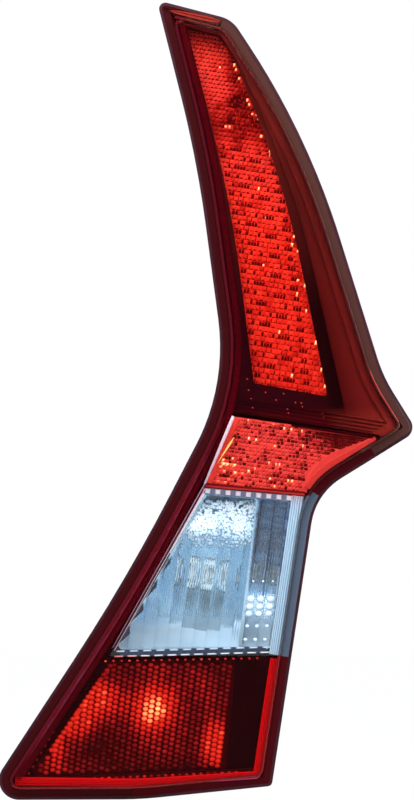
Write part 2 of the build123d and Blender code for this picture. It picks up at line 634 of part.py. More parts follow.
# Bulbs
for name, place, focus_y in (("reverse", REVERSE_BULB, REVERSE_FOCUS_Y), ("fog", FOG_BULB, FOG_FOCUS_Y)):
    cap_y = focus_y + CAP_SET_BACK
    save(lamp_glass(place, focus_y), f"{name}_bulb_glass")
    save(rod(place, CAP_RADIUS, cap_y, cap_y + CAP_LENGTH), f"{name}_bulb_cap")
turn_base_y = BACK_Y - TURN_SOCKET_REACH + WEDGE_GRIP
save(wedge_lamp(TURN_BULB, TURN_BULB_RADIUS, TURN_BULB_LENGTH, turn_base_y), "turn_bulb")
for name, place in TAIL_BULBS.items():
    base_y = socket_seats[name] - TAIL_SOCKET_REACH + WEDGE_GRIP
    save(wedge_lamp(place, TAIL_BULB_RADIUS, TAIL_BULB_LENGTH, base_y), f"{name}_bulb")

# Carrier with two bulb cups, its gasket and tracks, and the plug shell
seat_y = BACK_Y + GASKET_THICKNESS
carrier_back = seat_y + CARRIER_THICKNESS
carrier = prism(CARRIER_SHAPE, front=seat_y, back=carrier_back)
for place, focus_y in ((REVERSE_BULB, REVERSE_FOCUS_Y), (FOG_BULB, FOG_FOCUS_Y)):
    cap_y = focus_y + CAP_SET_BACK
    carrier += rod(place, CAP_RADIUS + CUP_WALL, cap_y + CUP_LEAD, seat_y)
    carrier -= rod(place, CAP_RADIUS, NEAR_Y, cap_y + CAP_LENGTH)
carrier += block(GRIP_PLACE, carrier_back, GRIP_SIZE)
save(carrier, "bulb_carrier")
gasket = prism(CARRIER_SHAPE, GASKET_INSET, front=BACK_Y, back=seat_y)
save(gasket - prism(CARRIER_SHAPE, GASKET_INSET + GASKET_WIDTH), "carrier_gasket")
shell_size = (CONNECTOR_WIDTH, CONNECTOR_LENGTH, CONNECTOR_HEIGHT)
room_size = (CONNECTOR_WIDTH - 2 * CONNECTOR_WALL, CONNECTOR_LENGTH, CONNECTOR_HEIGHT - 2 * CONNECTOR_WALL)
shell = block(CONNECTOR_CENTRE, carrier_back, shell_size)
save(shell - block(CONNECTOR_CENTRE, carrier_back + CONNECTOR_WALL, room_size), "connector_shell")
blades = []
for i in range(BLADE_COUNT):
    across_shell = (i - (BLADE_COUNT - 1) / 2) * BLADE_PITCH
    place = (CONNECTOR_CENTRE[0] + across_shell, CONNECTOR_CENTRE[1])
    blades.append(block(place, carrier_back + CONNECTOR_WALL, (BLADE_WIDTH, BLADE_LENGTH, BLADE_THICKNESS)))
save(Compound(children=blades), "connector_blades")
tracks = []
shell_edge = (CONNECTOR_HEIGHT + TRACK_WIDTH) / 2
for place, side in ((REVERSE_BULB, 1), (FOG_BULB, -1)):
    near_shell = (CONNECTOR_CENTRE[0], CONNECTOR_CENTRE[1] + side * shell_edge)
    tracks.append(bar(place, near_shell, TRACK_WIDTH, carrier_back, carrier_back + TRACK_THICKNESS))
save(Compound(children=tracks), "contact_strips")

# Twist-in holders with their seals and terminals
seats = {"turn": (TURN_BULB, BACK_Y, TURN_SOCKET_REACH, TURN_BULB_RADIUS)}
for name, place in TAIL_BULBS.items():
    seats[name] = (place, socket_seats[name], TAIL_SOCKET_REACH, TAIL_BULB_RADIUS)
seals = []
terminals = []
for name, (place, wall_y, reach, grip_radius) in seats.items():
    save(twist_socket(place, wall_y, reach, grip_radius), f"{name}_socket")
    ring = rod(place, SOCKET_FLANGE, wall_y, wall_y + SEAL_THICKNESS)
    seals.append(ring - rod(place, SOCKET_RADIUS, NEAR_Y, FAR_Y))
    terminals += socket_terminals(place, wall_y)
save(Compound(children=seals), "socket_seals")
save(Compound(children=terminals), "socket_terminals")

# Fixing studs, foam seal and breather caps
for name, place in STUDS.items():
    stud = rod(place, STUD_ROOT_RADIUS, -STUD_ROOT, 0) + rod(place, STUD_RADIUS, 0, STUD_LENGTH)
    tip = stud.edges().sort_by(Axis.Y)[-1]
    save(chamfer(tip, STUD_POINT), name)
foam_inner = FOAM_INSET + FOAM_WIDTH
foam = prism(SILHOUETTE, SHELL_INSET + FOAM_INSET, front=BACK_Y, back=0) & prism(DEEP_REGION, FOAM_INSET)
save(foam - (prism(SILHOUETTE, SHELL_INSET + foam_inner) & prism(DEEP_REGION, foam_inner)), "body_gasket")
vents = []
for place in VENTS:
    cap = rod(place, VENT_RADIUS, BACK_Y, BACK_Y + VENT_HEIGHT)
    vents.append(cap + rod(place, VENT_SPIGOT, BACK_Y - SHELL_WALL, BACK_Y))
save(Compound(children=vents), "vent_caps")
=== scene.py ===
import math
import random

import bmesh
import bpy
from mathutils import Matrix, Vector, noise


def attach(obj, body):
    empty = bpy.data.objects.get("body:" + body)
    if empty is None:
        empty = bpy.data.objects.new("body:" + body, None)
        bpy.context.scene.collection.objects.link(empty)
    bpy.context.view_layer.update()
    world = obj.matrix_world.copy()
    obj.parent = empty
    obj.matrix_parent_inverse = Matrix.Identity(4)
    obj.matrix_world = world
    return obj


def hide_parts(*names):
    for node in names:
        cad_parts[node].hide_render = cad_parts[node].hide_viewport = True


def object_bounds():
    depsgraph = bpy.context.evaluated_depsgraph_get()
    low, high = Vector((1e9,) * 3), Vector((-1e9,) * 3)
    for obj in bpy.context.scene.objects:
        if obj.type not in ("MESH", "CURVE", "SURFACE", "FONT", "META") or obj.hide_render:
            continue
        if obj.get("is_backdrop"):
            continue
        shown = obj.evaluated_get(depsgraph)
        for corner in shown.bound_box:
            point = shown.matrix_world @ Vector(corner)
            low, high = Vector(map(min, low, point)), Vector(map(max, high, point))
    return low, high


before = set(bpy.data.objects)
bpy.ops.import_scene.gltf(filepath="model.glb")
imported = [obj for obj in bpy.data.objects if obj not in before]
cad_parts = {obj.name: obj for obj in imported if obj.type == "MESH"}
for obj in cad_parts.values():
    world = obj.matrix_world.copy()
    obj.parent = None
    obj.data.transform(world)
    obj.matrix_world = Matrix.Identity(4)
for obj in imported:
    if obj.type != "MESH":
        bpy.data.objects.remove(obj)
cad_low, cad_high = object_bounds()

# Housing
# The black rear shell, injection moulded in grained polypropylene. Its faces that look ahead are
# tinted dark red. Its rim carries the lens, and its bosses and posts take the studs, the holders and
# the inner trim.
CLOUD_DETAIL = 2.0
CLOUD_SPAN = (0.3, 0.7)
GRAIN_STRENGTH = 0.6
MOULDED_TONE_SCALE = 40.0
MOULDED_GLOSS_SCALE = 160.0


def finish(name):
    """New material that starts from one Principled shader."""
    material = bpy.data.materials.new(name)
    material.use_nodes = True
    return material, material.node_tree, material.node_tree.nodes["Principled BSDF"]


def feed(tree, node, sockets):
    """Gives sockets of a node their values: a constant, or what another node puts out."""
    for name, value in sockets.items():
        if isinstance(value, bpy.types.NodeSocket):
            tree.links.new(value, node.inputs[name])
        else:
            node.inputs[name].default_value = value


def wired(tree, kind, sockets):
    """New node with its sockets fed."""
    node = tree.nodes.new(kind)
    feed(tree, node, sockets)
    return node


def coordinate(tree, kind):
    """Where a point lies on its object, or the way its face looks."""
    return tree.nodes.new("ShaderNodeTexCoord").outputs[kind]


def cloud(tree, scale):
    """Cloudy field over the object's own place, with grains of about 1 / scale metres."""
    sockets = {"Vector": coordinate(tree, "Object"), "Scale": scale, "Detail": CLOUD_DETAIL}
    return wired(tree, "ShaderNodeTexNoise", sockets).outputs["Fac"]


def tones(tree, field, stops):
    """Colours laid over a field, as (place, colour) pairs."""
    ramp = wired(tree, "ShaderNodeValToRGB", {"Fac": field})
    while len(ramp.color_ramp.elements) < len(stops):
        ramp.color_ramp.elements.new(0.5)
    for element, (place, colour) in zip(ramp.color_ramp.elements, stops):
        element.position = place
        element.color = (*colour, 1.0)
    return ramp.outputs["Color"]


def mapped(tree, field, span, ends=(0.0, 1.0)):
    """Field of which a span is stretched between two ends."""
    sockets = {"Value": field, "From Min": span[0], "From Max": span[1], "To Min": ends[0], "To Max": ends[1]}
    return wired(tree, "ShaderNodeMapRange", sockets).outputs["Result"]


def clouded(tree, scale, ends):
    """Cloudy field between two values."""
    return mapped(tree, cloud(tree, scale), CLOUD_SPAN, ends)


def grain(tree, shader, scale, depth):
    """Cloudy field pressed into the surface, depth in metres."""
    sockets = {"Strength": GRAIN_STRENGTH, "Distance": depth, "Height": cloud(tree, scale)}
    feed(tree, shader, {"Normal": wired(tree, "ShaderNodeBump", sockets).outputs["Normal"]})


def moulded(name, dark, light, gloss, grain_scale, grain_depth, shine=0.15):
    """Moulded plastic or rubber: two close tones clouded together, with a fine grain."""
    material, tree, shader = finish(name)
    sockets = {
        "Base Color": tones(tree, cloud(tree, MOULDED_TONE_SCALE), [(0.35, dark), (0.65, light)]),
        "Roughness": clouded(tree, MOULDED_GLOSS_SCALE, gloss),
        "Specular IOR Level": shine,
    }
    feed(tree, shader, sockets)
    grain(tree, shader, grain_scale, grain_depth)
    return material


def share_along(tree, axis, span, of="Object"):
    """Share of a span along an axis: of a place in metres, or of the way a face looks."""
    along = wired(tree, "ShaderNodeVectorMath", {0: coordinate(tree, of), 1: axis})
    along.operation = "DOT_PRODUCT"
    return mapped(tree, along.outputs["Value"], span)


def blended(tree, share, first, second):
    """Two colours mixed by a field."""
    mix = tree.nodes.new("ShaderNodeMix")
    mix.data_type = "RGBA"
    feed(tree, mix, {"Factor": share, "A": first, "B": second})
    return mix.outputs["Result"]


def overlay(material, share, colour):
    """Lays a second colour over a finish, by a field."""
    tree = material.node_tree
    shader = tree.nodes["Principled BSDF"]
    first = shader.inputs["Base Color"].links[0].from_socket
    feed(tree, shader, {"Base Color": blended(tree, share, first, colour)})


def dress(material, *names):
    """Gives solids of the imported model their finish."""
    for name in names:
        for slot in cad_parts[name].material_slots:
            slot.material = material


HOUSING_TONES = ((0.012, 0.012, 0.013), (0.024, 0.024, 0.026))
FRONT_RED_STOPS = [(0.3, (0.05, 0.010, 0.016)), (0.7, (0.075, 0.014, 0.024))]
FRONT_RED_SCALE = 60.0
AHEAD = (0.0, -1.0, 0.0)
AHEAD_SPAN = (0.3, 0.45)
housing_plastic = moulded(
    "housing_plastic", *HOUSING_TONES, gloss=(0.42, 0.6), grain_scale=1400.0, grain_depth=0.0002
)
tree = housing_plastic.node_tree
# Faces that look ahead are tinted dark red, by the way they face.
front_red = tones(tree, cloud(tree, FRONT_RED_SCALE), FRONT_RED_STOPS)
overlay(housing_plastic, share_along(tree, AHEAD, AHEAD_SPAN, "Normal"), front_red)
dress(housing_plastic, "housing")

# Body seal and small seals
# Closed-cell foam glued round the back of the deep box, and moulded rubber rings under the carrier,
# the holders and the breather caps.
FOAM_TONES = ((0.03, 0.03, 0.032), (0.07, 0.07, 0.075))
RUBBER_TONES = ((0.014, 0.014, 0.014), (0.03, 0.03, 0.03))
seal_foam = moulded("seal_foam", *FOAM_TONES, gloss=(0.85, 1.0), grain_scale=900.0, grain_depth=0.0008)
dress(seal_foam, "body_gasket")
seal_rubber = moulded("seal_rubber", *RUBBER_TONES, gloss=(0.55, 0.75), grain_scale=700.0, grain_depth=0.0002)
dress(seal_rubber, "carrier_gasket", "socket_seals", "vent_caps")

# Fixing studs
# Zinc-plated steel studs, pressed into bosses of the housing by a plain collar. The thread is rolled,
# 1 mm from turn to turn, and runs out into the core at both ends.
MM = 0.001
STUD_PLACES = {"upper_stud": (-22.0, 274.0), "middle_stud": (0.0, 0.0), "lower_stud": (-17.0, -248.0)}
STUD_CORE = [(0, -9), (3.6, -9), (4, -8.6), (4, -0.05), (2.6, 0), (2.6, 23.4), (2.1, 24), (0, 24)]
THREAD_START = 1.0
THREAD_PITCH = 1.0
THREAD_TURNS = 21
THREAD_SIDES = 20
THREAD_ROOT = 2.58
THREAD_HEIGHT = 0.42
PLATED_TONE_SCALE = 120.0
PLATED_GLOSS_SCALE = 300.0


def plated(name, dark, light, gloss):
    """Plated or bright metal with a faint cloud in tone and gloss."""
    material, tree, shader = finish(name)
    sockets = {
        "Base Color": tones(tree, cloud(tree, PLATED_TONE_SCALE), [(0.3, dark), (0.7, light)]),
        "Metallic": 1.0,
        "Roughness": clouded(tree, PLATED_GLOSS_SCALE, gloss),
    }
    feed(tree, shader, sockets)
    return material


def add_piece(name, mesh, material, slot, *replaced):
    """Builds a piece from a bmesh in millimetres, fixed to the lamp."""
    bmesh.ops.scale(mesh, vec=(MM, MM, MM), verts=mesh.verts)
    bmesh.ops.recalc_face_normals(mesh, faces=mesh.faces)
    data = bpy.data.meshes.new(name)
    mesh.to_mesh(data)
    mesh.free()
    data.materials.append(material)
    piece = bpy.data.objects.new(name, data)
    bpy.context.scene.collection.objects.link(piece)
    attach(piece, "root")
    if replaced:
        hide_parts(*replaced)


def round_axis(place, radius, angle, y):
    """Point at an angle round a line along Y."""
    return place[0] + radius * math.cos(angle), y, place[1] + radius * math.sin(angle)


def lathe(mesh, place, profile, sides):
    """Turns points (radius, y) about a line along Y; a radius of nought closes an end."""
    rings = []
    for radius, y in profile:
        angles = [2 * math.pi * i / sides for i in range(sides if radius else 1)]
        rings.append([mesh.verts.new(round_axis(place, radius, angle, y)) for angle in angles])
    for near, far in zip(rings, rings[1:]):
        for i in range(sides):
            j = i + 1
            corners = [near[i % len(near)], near[j % len(near)], far[j % len(far)], far[i % len(far)]]
            mesh.faces.new(list(dict.fromkeys(corners)))


stud_steel = plated("stud_steel", (0.42, 0.42, 0.40), (0.66, 0.66, 0.63), gloss=(0.25, 0.42))
for stud, place in STUD_PLACES.items():
    mesh = bmesh.new()
    lathe(mesh, place, STUD_CORE, THREAD_SIDES)
    crests = []
    roots = []
    steps = THREAD_TURNS * THREAD_SIDES
    for i in range(steps + 1):
        angle = 2 * math.pi * i / THREAD_SIDES
        lead = min(1.0, i / THREAD_SIDES, (steps - i) / THREAD_SIDES)
        y = THREAD_START + THREAD_PITCH * i / THREAD_SIDES
        crest = THREAD_ROOT + THREAD_HEIGHT * lead
        for row, radius, shift in ((roots, THREAD_ROOT, 0.0), (crests, crest, THREAD_PITCH / 2)):
            row.append(mesh.verts.new(round_axis(place, radius, angle, y + shift)))
    for i in range(steps):
        mesh.faces.new((roots[i], roots[i + 1], crests[i + 1], crests[i]))
        if i + THREAD_SIDES < steps:
            after = i + THREAD_SIDES
            mesh.faces.new((crests[i], crests[i + 1], roots[after + 1], roots[after]))
    add_piece(stud + "_threaded", mesh, stud_steel, "stud_steel", stud)

# Bulb carrier, plug shell and holders
# Light grey glass-filled nylon: a plate clipped to the back with two bulb cups and the plug shell,
# and three twist-in holders with finger wings.
CARRIER_TONES = ((0.40, 0.41, 0.43), (0.50, 0.51, 0.53))
carrier_plastic = moulded(
    "carrier_plastic", *CARRIER_TONES, gloss=(0.38, 0.55), grain_scale=1100.0, grain_depth=0.00015
)
dress(carrier_plastic, "bulb_carrier", "connector_shell")
dress(carrier_plastic, "turn_socket", "upper_tail_socket", "lower_tail_socket")

# Contacts
# Pressed brass tracks on the carrier, blades in the plug shell and terminals behind the holders,
# pushed into slots of the plastic.
contact_metal = plated("contact_metal", (0.60, 0.46, 0.22), (0.80, 0.66, 0.38), gloss=(0.25, 0.45))
dress(contact_metal, "contact_strips", "connector_blades", "socket_terminals")

# Bulbs
# Thin blown glass, with nickel-plated brass caps on the larger two, and small capless bulbs in the
# holders, the turn one lightly silvered. The glass carries painted glints that glow in cloudy patches.
GLASS_INDEX = 1.5
GLASS_GLOSS = 0.04
# Painted glints on the bulb glass: the colour of their glow and their cloudy patches.
PAINTED_GLINT_COLOUR = (0.82, 0.97, 1.0, 1.0)
PAINTED_GLINT_SCALE = 130.0
PAINTED_GLINT_STOPS = [(0.57, (0.0, 0.0, 0.0)), (0.63, (0.8, 0.8, 0.8))]


def joined(tree, operation, *fields):
    """Fields put together by one operation."""
    total = fields[0]
    for field in fields[1:]:
        step = wired(tree, "ShaderNodeMath", {0: total, 1: field})
        step.operation = operation
        total = step.outputs["Value"]
    return total


def see_through(tree, tint):
    """Shader that only tints what lies behind it."""
    return wired(tree, "ShaderNodeBsdfTransparent", {"Color": (*tint, 1.0)}).outputs["BSDF"]


def show(tree, share, first, second):
    """Makes the surface a mix of two shaders."""
    mix = wired(tree, "ShaderNodeMixShader", {"Fac": share, 1: first, 2: second})
    feed(tree, tree.nodes["Material Output"], {"Surface": mix.outputs["Shader"]})


def blown_glass(name, tint, painted_glint_glow):
    """Thin glass: clear through the middle, shining at the edge, with painted glints in cloudy patches; where
    not clear it has a painted glow.
    """
    material, tree, shader = finish(name)
    sockets = {
        "Base Color": (*tint, 1.0),
        "Roughness": GLASS_GLOSS,
        "Emission Color": PAINTED_GLINT_COLOUR,
        "Emission Strength": painted_glint_glow,
    }
    feed(tree, shader, sockets)
    edge = wired(tree, "ShaderNodeFresnel", {"IOR": GLASS_INDEX}).outputs["Fac"]
    # Painted glints: cloudy patches where the glass turns opaque and glows.
    painted_glints = tones(tree, cloud(tree, PAINTED_GLINT_SCALE), PAINTED_GLINT_STOPS)
    show(tree, joined(tree, "MAXIMUM", edge, painted_glints), see_through(tree, tint), shader.outputs["BSDF"])
    return material


cap_brass = plated("cap_brass", (0.66, 0.72, 0.78), (0.82, 0.87, 0.91), gloss=(0.3, 0.45))
dress(cap_brass, "reverse_bulb_cap", "fog_bulb_cap")
bulb_glass = blown_glass("bulb_glass", (0.94, 0.97, 0.99), painted_glint_glow=0.3)
dress(bulb_glass, "reverse_bulb_glass", "upper_tail_bulb", "lower_tail_bulb", "fog_bulb_glass")
silvered_glass = blown_glass("silvered_glass", (0.76, 0.83, 0.90), painted_glint_glow=0.2)
dress(silvered_glass, "turn_bulb")

# Reflectors
# Moulded plastic, lacquered and vacuum metallised: the trough in the arm, the twin bowl behind the
# clear window and the dark bowl of the bottom chamber. The silver of the trough and twin bowl is tinted
# blue, a painted blue reflection; above its bulb the side bowl is darker navy, a painted dark
# reflection, and a painted shade darkens the foot of the twin bowl.
UP = (0.0, 0.0, 1.0)
SIDE_BOWL_AXIS = (0.993, 0.0, -0.118)
SIDE_BOWL_EDGE = 0.0011
PARTITION_HALF = 0.0005
# The painted dark reflection on the side bowl starts above its bulb.
PAINTED_DARK_REFLECTION_SPAN = (-0.118, -0.098)
FOOT_SPAN = (-0.140, -0.152)
# Silver tinted blue: a painted blue reflection.
SILVER_PAINTED_BLUE_STOPS = [(0.3, (0.55, 0.76, 0.92)), (0.7, (0.69, 0.88, 0.99))]
# Darker navy: a painted dark reflection.
PAINTED_DARK_REFLECTION_STOPS = [(0.4, (0.10, 0.17, 0.30)), (0.62, (0.26, 0.38, 0.54))]
# Darker, duller foot: painted shade.
PAINTED_FOOT_SHADE_STOPS = [(0.3, (0.40, 0.53, 0.62)), (0.7, (0.52, 0.63, 0.70))]
BOWL_GLOSS_SCALE = 90.0
metallised, tree, shader = finish("metallised")
partition_span = (SIDE_BOWL_EDGE - PARTITION_HALF, SIDE_BOWL_EDGE + PARTITION_HALF)
beyond_partition = share_along(tree, SIDE_BOWL_AXIS, partition_span)
above_bulb = share_along(tree, UP, PAINTED_DARK_REFLECTION_SPAN)
at_foot = share_along(tree, UP, FOOT_SPAN)
silver_painted_blue = tones(tree, cloud(tree, 30.0), SILVER_PAINTED_BLUE_STOPS)
painted_dark_reflection = tones(tree, cloud(tree, 220.0), PAINTED_DARK_REFLECTION_STOPS)
painted_foot_shade = tones(tree, cloud(tree, 60.0), PAINTED_FOOT_SHADE_STOPS)
bowl_tone = blended(tree, joined(tree, "MULTIPLY", beyond_partition, above_bulb), silver_painted_blue, painted_dark_reflection)
satin = clouded(tree, BOWL_GLOSS_SCALE, (0.2, 0.32))
brushed = clouded(tree, BOWL_GLOSS_SCALE, (0.48, 0.62))
bowl_sockets = {
    "Base Color": blended(tree, at_foot, bowl_tone, painted_foot_shade),
    "Metallic": 1.0,
    "Roughness": blended(tree, at_foot, satin, brushed),
}
feed(tree, shader, bowl_sockets)
grain(tree, shader, 70.0, 0.0006)
dress(metallised, "tail_reflector", "signal_reflector")
smoked_metal = plated("smoked_metal", (0.02, 0.012, 0.02), (0.05, 0.03, 0.04), gloss=(0.3, 0.5))
dress(smoked_metal, "fog_reflector")

# Dark inner masks
# Satin black mouldings that frame the windows, clipped to posts of the housing. The mask of the arm is
# near black in its groove, a painted shade, and has a pale panel beyond its groove, lighter away from
# it, painted light. It is maroon at the waist where the lens wraps the corner, and beyond the groove
# there a grey painted highlight grows lighter outboard.
GROOVE_EDGE = 0.0757
GROOVE_AXIS = (0.976, 0.0, 0.217)
PANEL_REACH = 0.045
PANEL_SPAN = (GROOVE_EDGE - PANEL_REACH, GROOVE_EDGE + PANEL_REACH)
ARM_FADE = (0.12, 0.27)
WAIST_TOP = 0.038
WAIST_FOOT = -0.030
SOFT_EDGE = 0.010
WAIST_FADE = (0.058, 0.068)
# Painted grey highlight at the waist beyond the groove, lighter outboard.
WAIST_PAINTED_HIGHLIGHT_STOPS = [(0.4, (0.10, 0.11, 0.11)), (0.85, (0.22, 0.25, 0.24))]
UPPER_STOPS = [(0.3, (0.08, 0.10, 0.11)), (0.7, (0.11, 0.13, 0.14))]
MAROON_STOPS = [(0.3, (0.05, 0.012, 0.05)), (0.7, (0.075, 0.016, 0.06))]
# Near black in the groove, painted shade; lighter on the panel beyond it, painted light.
GROOVE_SHADE_PANEL_LIGHT_STOPS = [
    (0.0, (0.018, 0.012, 0.05)),
    (0.36, (0.014, 0.009, 0.024)),
    (0.42, (0.004, 0.002, 0.004)),
    (0.505, (0.004, 0.002, 0.004)),
    (0.52, (0.06, 0.04, 0.04)),
    (0.7, (0.12, 0.11, 0.13)),
    (0.9, (0.17, 0.18, 0.21)),
    (1.0, (0.15, 0.16, 0.19)),
]
TRIM_SCALE = 25.0
TRIM_GRAIN = (1200.0, 0.00008)
DEEP_TONES = ((0.002, 0.002, 0.004), (0.004, 0.003, 0.007))
dark_trim, tree, shader = finish("dark_trim")
outboard = share_along(tree, GROOVE_AXIS, PANEL_SPAN)
groove_shade_panel_light = tones(tree, outboard, GROOVE_SHADE_PANEL_LIGHT_STOPS)
upper_arm = tones(tree, cloud(tree, TRIM_SCALE), UPPER_STOPS)
arm_tone = blended(tree, share_along(tree, UP, ARM_FADE), groove_shade_panel_light, upper_arm)
maroon = tones(tree, cloud(tree, TRIM_SCALE), MAROON_STOPS)
past_window = share_along(tree, GROOVE_AXIS, WAIST_FADE)
waist_tone = blended(tree, past_window, maroon, tones(tree, outboard, WAIST_PAINTED_HIGHLIGHT_STOPS))
below_window = share_along(tree, UP, (WAIST_TOP, WAIST_TOP - SOFT_EDGE))
above_reflex = share_along(tree, UP, (WAIST_FOOT, WAIST_FOOT + SOFT_EDGE))
at_waist = joined(tree, "MULTIPLY", below_window, above_reflex)
trim_sockets = {
    "Base Color": blended(tree, at_waist, arm_tone, waist_tone),
    "Roughness": clouded(tree, 120.0, (0.35, 0.55)),
    "Specular IOR Level": 0.15,
}
feed(tree, shader, trim_sockets)
grain(tree, shader, *TRIM_GRAIN)
dress(dark_trim, "arm_bezel")
deep_trim = moulded("deep_trim", *DEEP_TONES, (0.35, 0.55), *TRIM_GRAIN, shine=0.05)
dress(deep_trim, "lower_bezel")

# Prism plate of the upper window
# A red acrylic plate seated in the window of the mask, moulded with rows of small corner prisms that
# throw light back. The rows lean down outboard and close up to the top. Lower down, dark bars of painted
# shade break every other one. Light and shade on the prisms are painted into the tone of each facet: a
# darker foot facet, painted shade in patches and in dark ticks, painted light towards the top, a painted
# pale sheen on bright facets high in the window, and glints that glow, more of them outboard.
LEAN = math.radians(17.0)
FRONT_Y = -100.0
BARREL_RADIUS = 1500.0
BARREL_MIDDLE = 15.0
SWEEP_BACK = math.radians(4.0)
WRAP_START = 86.0
WRAP_RADIUS = 52.0
WRAP_END = math.radians(58.0)
BEND_STEPS = 6
EDGE_HAIR = 0.02
EDGE_STEP = 0.25
CELL_SEAT = 0.02
BASE_TONE = 0.4
TONE_LAYER = "cell_tone"


def lens_front(x, z):
    """Y of the outside of the lens at a place seen from the front."""
    across = x * math.cos(LEAN) + z * math.sin(LEAN)
    up = z * math.cos(LEAN) - x * math.sin(LEAN) - BARREL_MIDDLE
    centre = WRAP_START - WRAP_RADIUS * math.sin(SWEEP_BACK)
    straight = centre + WRAP_RADIUS * math.sin(WRAP_END)
    back = (across - WRAP_START) * math.tan(SWEEP_BACK)
    if across > WRAP_START:
        reach = min(across, straight) - centre
        back = WRAP_RADIUS * math.cos(SWEEP_BACK) - math.sqrt(WRAP_RADIUS**2 - reach**2)
        back += max(0.0, across - straight) * math.tan(WRAP_END)
    return FRONT_Y + BARREL_RADIUS - math.sqrt((BARREL_RADIUS - back) ** 2 - up**2)


def bend(before, here, after):
    """Rounded corner (x, z, radius) between its two neighbours."""
    corner = Vector(here[:2])
    way_back = (Vector(before[:2]) - corner).normalized()
    way_on = (Vector(after[:2]) - corner).normalized()
    half = way_back.angle(way_on) / 2
    centre = corner + (way_back + way_on).normalized() * (here[2] / math.sin(half))
    start = corner + way_back * (here[2] / math.tan(half)) - centre
    end = corner + way_on * (here[2] / math.tan(half)) - centre
    turn = start.angle(end)
    points = []
    for i in range(BEND_STEPS + 1):
        share = i / BEND_STEPS
        first = math.sin((1 - share) * turn) / math.sin(turn)
        last = math.sin(share * turn) / math.sin(turn)
        points.append(centre + start * first + end * last)
    return points


def rounded(corners):
    """Closed outline through corners (x, z, radius), its corners rounded."""
    points = []
    for i, here in enumerate(corners):
        points += bend(corners[i - 1], here, corners[(i + 1) % len(corners)])
    return points


def depth_inside(points, place):
    """Distance of a place from an outline, above nought inside it."""
    nearest = 1e9
    crossings = 0
    for a, b in zip(points, points[1:] + points[:1]):
        along = b - a
        share = max(0.0, min(1.0, (place - a).dot(along) / max(along.length_squared, 1e-9)))
        nearest = min(nearest, (place - a - along * share).length)
        if (a.y > place.y) != (b.y > place.y) and place.x < a.x + along.x * (place.y - a.y) / along.y:
            crossings += 1
    return nearest if crossings % 2 else -nearest


def row_bands(points, tilt, pitch, grow):
    """Rows across an outline that lean by tilt: for each row edge its height and its two ends."""
    along = Vector((math.cos(tilt), -math.sin(tilt)))
    upward = Vector((math.sin(tilt), math.cos(tilt)))
    low = min(p.dot(upward) for p in points) - grow
    high = max(p.dot(upward) for p in points) + grow
    left = min(p.dot(along) for p in points) - grow
    right = max(p.dot(along) for p in points) + grow
    bands = []
    height = low + EDGE_HAIR
    while height < high:
        stations = [left + EDGE_STEP * i for i in range(int((right - left) / EDGE_STEP) + 1)]
        held = [s for s in stations if depth_inside(points, along * s + upward * height) > -grow]
        if held:
            bands.append((height, held[0], held[-1]))
        step = pitch((height - low) / (high - low))
        height = high - EDGE_HAIR if height < high - EDGE_HAIR < height + step else height + step
    return along, upward, bands


def toned_mesh():
    """New mesh, with the layer that holds a tone for each of its faces."""
    mesh = bmesh.new()
    return mesh, mesh.faces.layers.float.new(TONE_LAYER)


def vertex(mesh, place, y):
    """Corner of a mesh, at a place seen from the front and a depth Y."""
    return mesh.verts.new((place.x, y, place.y))


def plate(mesh, tone, value, rungs, surface, thickness):
    """Curved plate between rungs (left end, right end), front face on the surface, all of one tone."""
    ladder = []
    for left, right in rungs:
        rung = []
        for place in (left, left.lerp(right, 0.5), right):
            y = surface(place)
            rung.append((vertex(mesh, place, y), vertex(mesh, place, y + thickness)))
        ladder.append(rung)
    faces = []
    for below, above in zip(ladder, ladder[1:]):
        for side in (0, 1):
            for near, far in ((0, 1), (1, 2)):
                faces.append((below[near][side], below[far][side], above[far][side], above[near][side]))
        for end in (0, 2):
            faces.append((below[end][0], below[end][1], above[end][1], above[end][0]))
    for rung in (ladder[0], ladder[-1]):
        for near, far in ((0, 1), (1, 2)):
            faces.append((rung[near][0], rung[far][0], rung[far][1], rung[near][1]))
    for corners in faces:
        mesh.faces.new(corners)[tone] = value


def rungs_of(along, upward, bands):
    """Row edges as pairs of places."""
    rungs = []
    for height, left, right in bands:
        rungs.append((along * left + upward * height, along * right + upward * height))
    return rungs


def prism_cell(mesh, tone, corners, peak, shades):
    """Closed pyramid on four corners, with a tone for each of its sides."""
    base = [mesh.verts.new(corner) for corner in corners]
    top = mesh.verts.new(peak)
    mesh.faces.new(base)[tone] = BASE_TONE
    for i in range(4):
        mesh.faces.new((base[i], base[(i + 1) % 4], top))[tone] = shades[i]


def leaning_cell(mesh, tone, rows, ends, surface, tooth, lean, shades):
    """One prism between two row edges, its peak leaned by shares of its width and height."""
    along, upward = rows
    left, right, low, high = ends
    corners = []
    for station, height in ((left, low), (right, low), (right, high), (left, high)):
        place = along * station + upward * height
        corners.append((place.x, surface(place) - CELL_SEAT, place.y))
    place = along * (left + (right - left) * lean[0]) + upward * (low + (high - low) * lean[1])
    prism_cell(mesh, tone, corners, (place.x, surface(place) - tooth, place.y), shades)


def painted_patches(place, patches):
    """Painted light and shade at a place, summed from soft patches (centre, half width, half height,
    strength).
    """
    total = 0.0
    for centre, half_width, half_height, strength in patches:
        away = Vector(((place.x - centre.x) / half_width, (place.y - centre.y) / half_height))
        total += strength * math.exp(-away.length_squared)
    return total


def facet_tone(tree):
    """Tone that each facet of a mesh carries."""
    facet = tree.nodes.new("ShaderNodeAttribute")
    facet.attribute_name = TONE_LAYER
    return facet.outputs["Fac"]


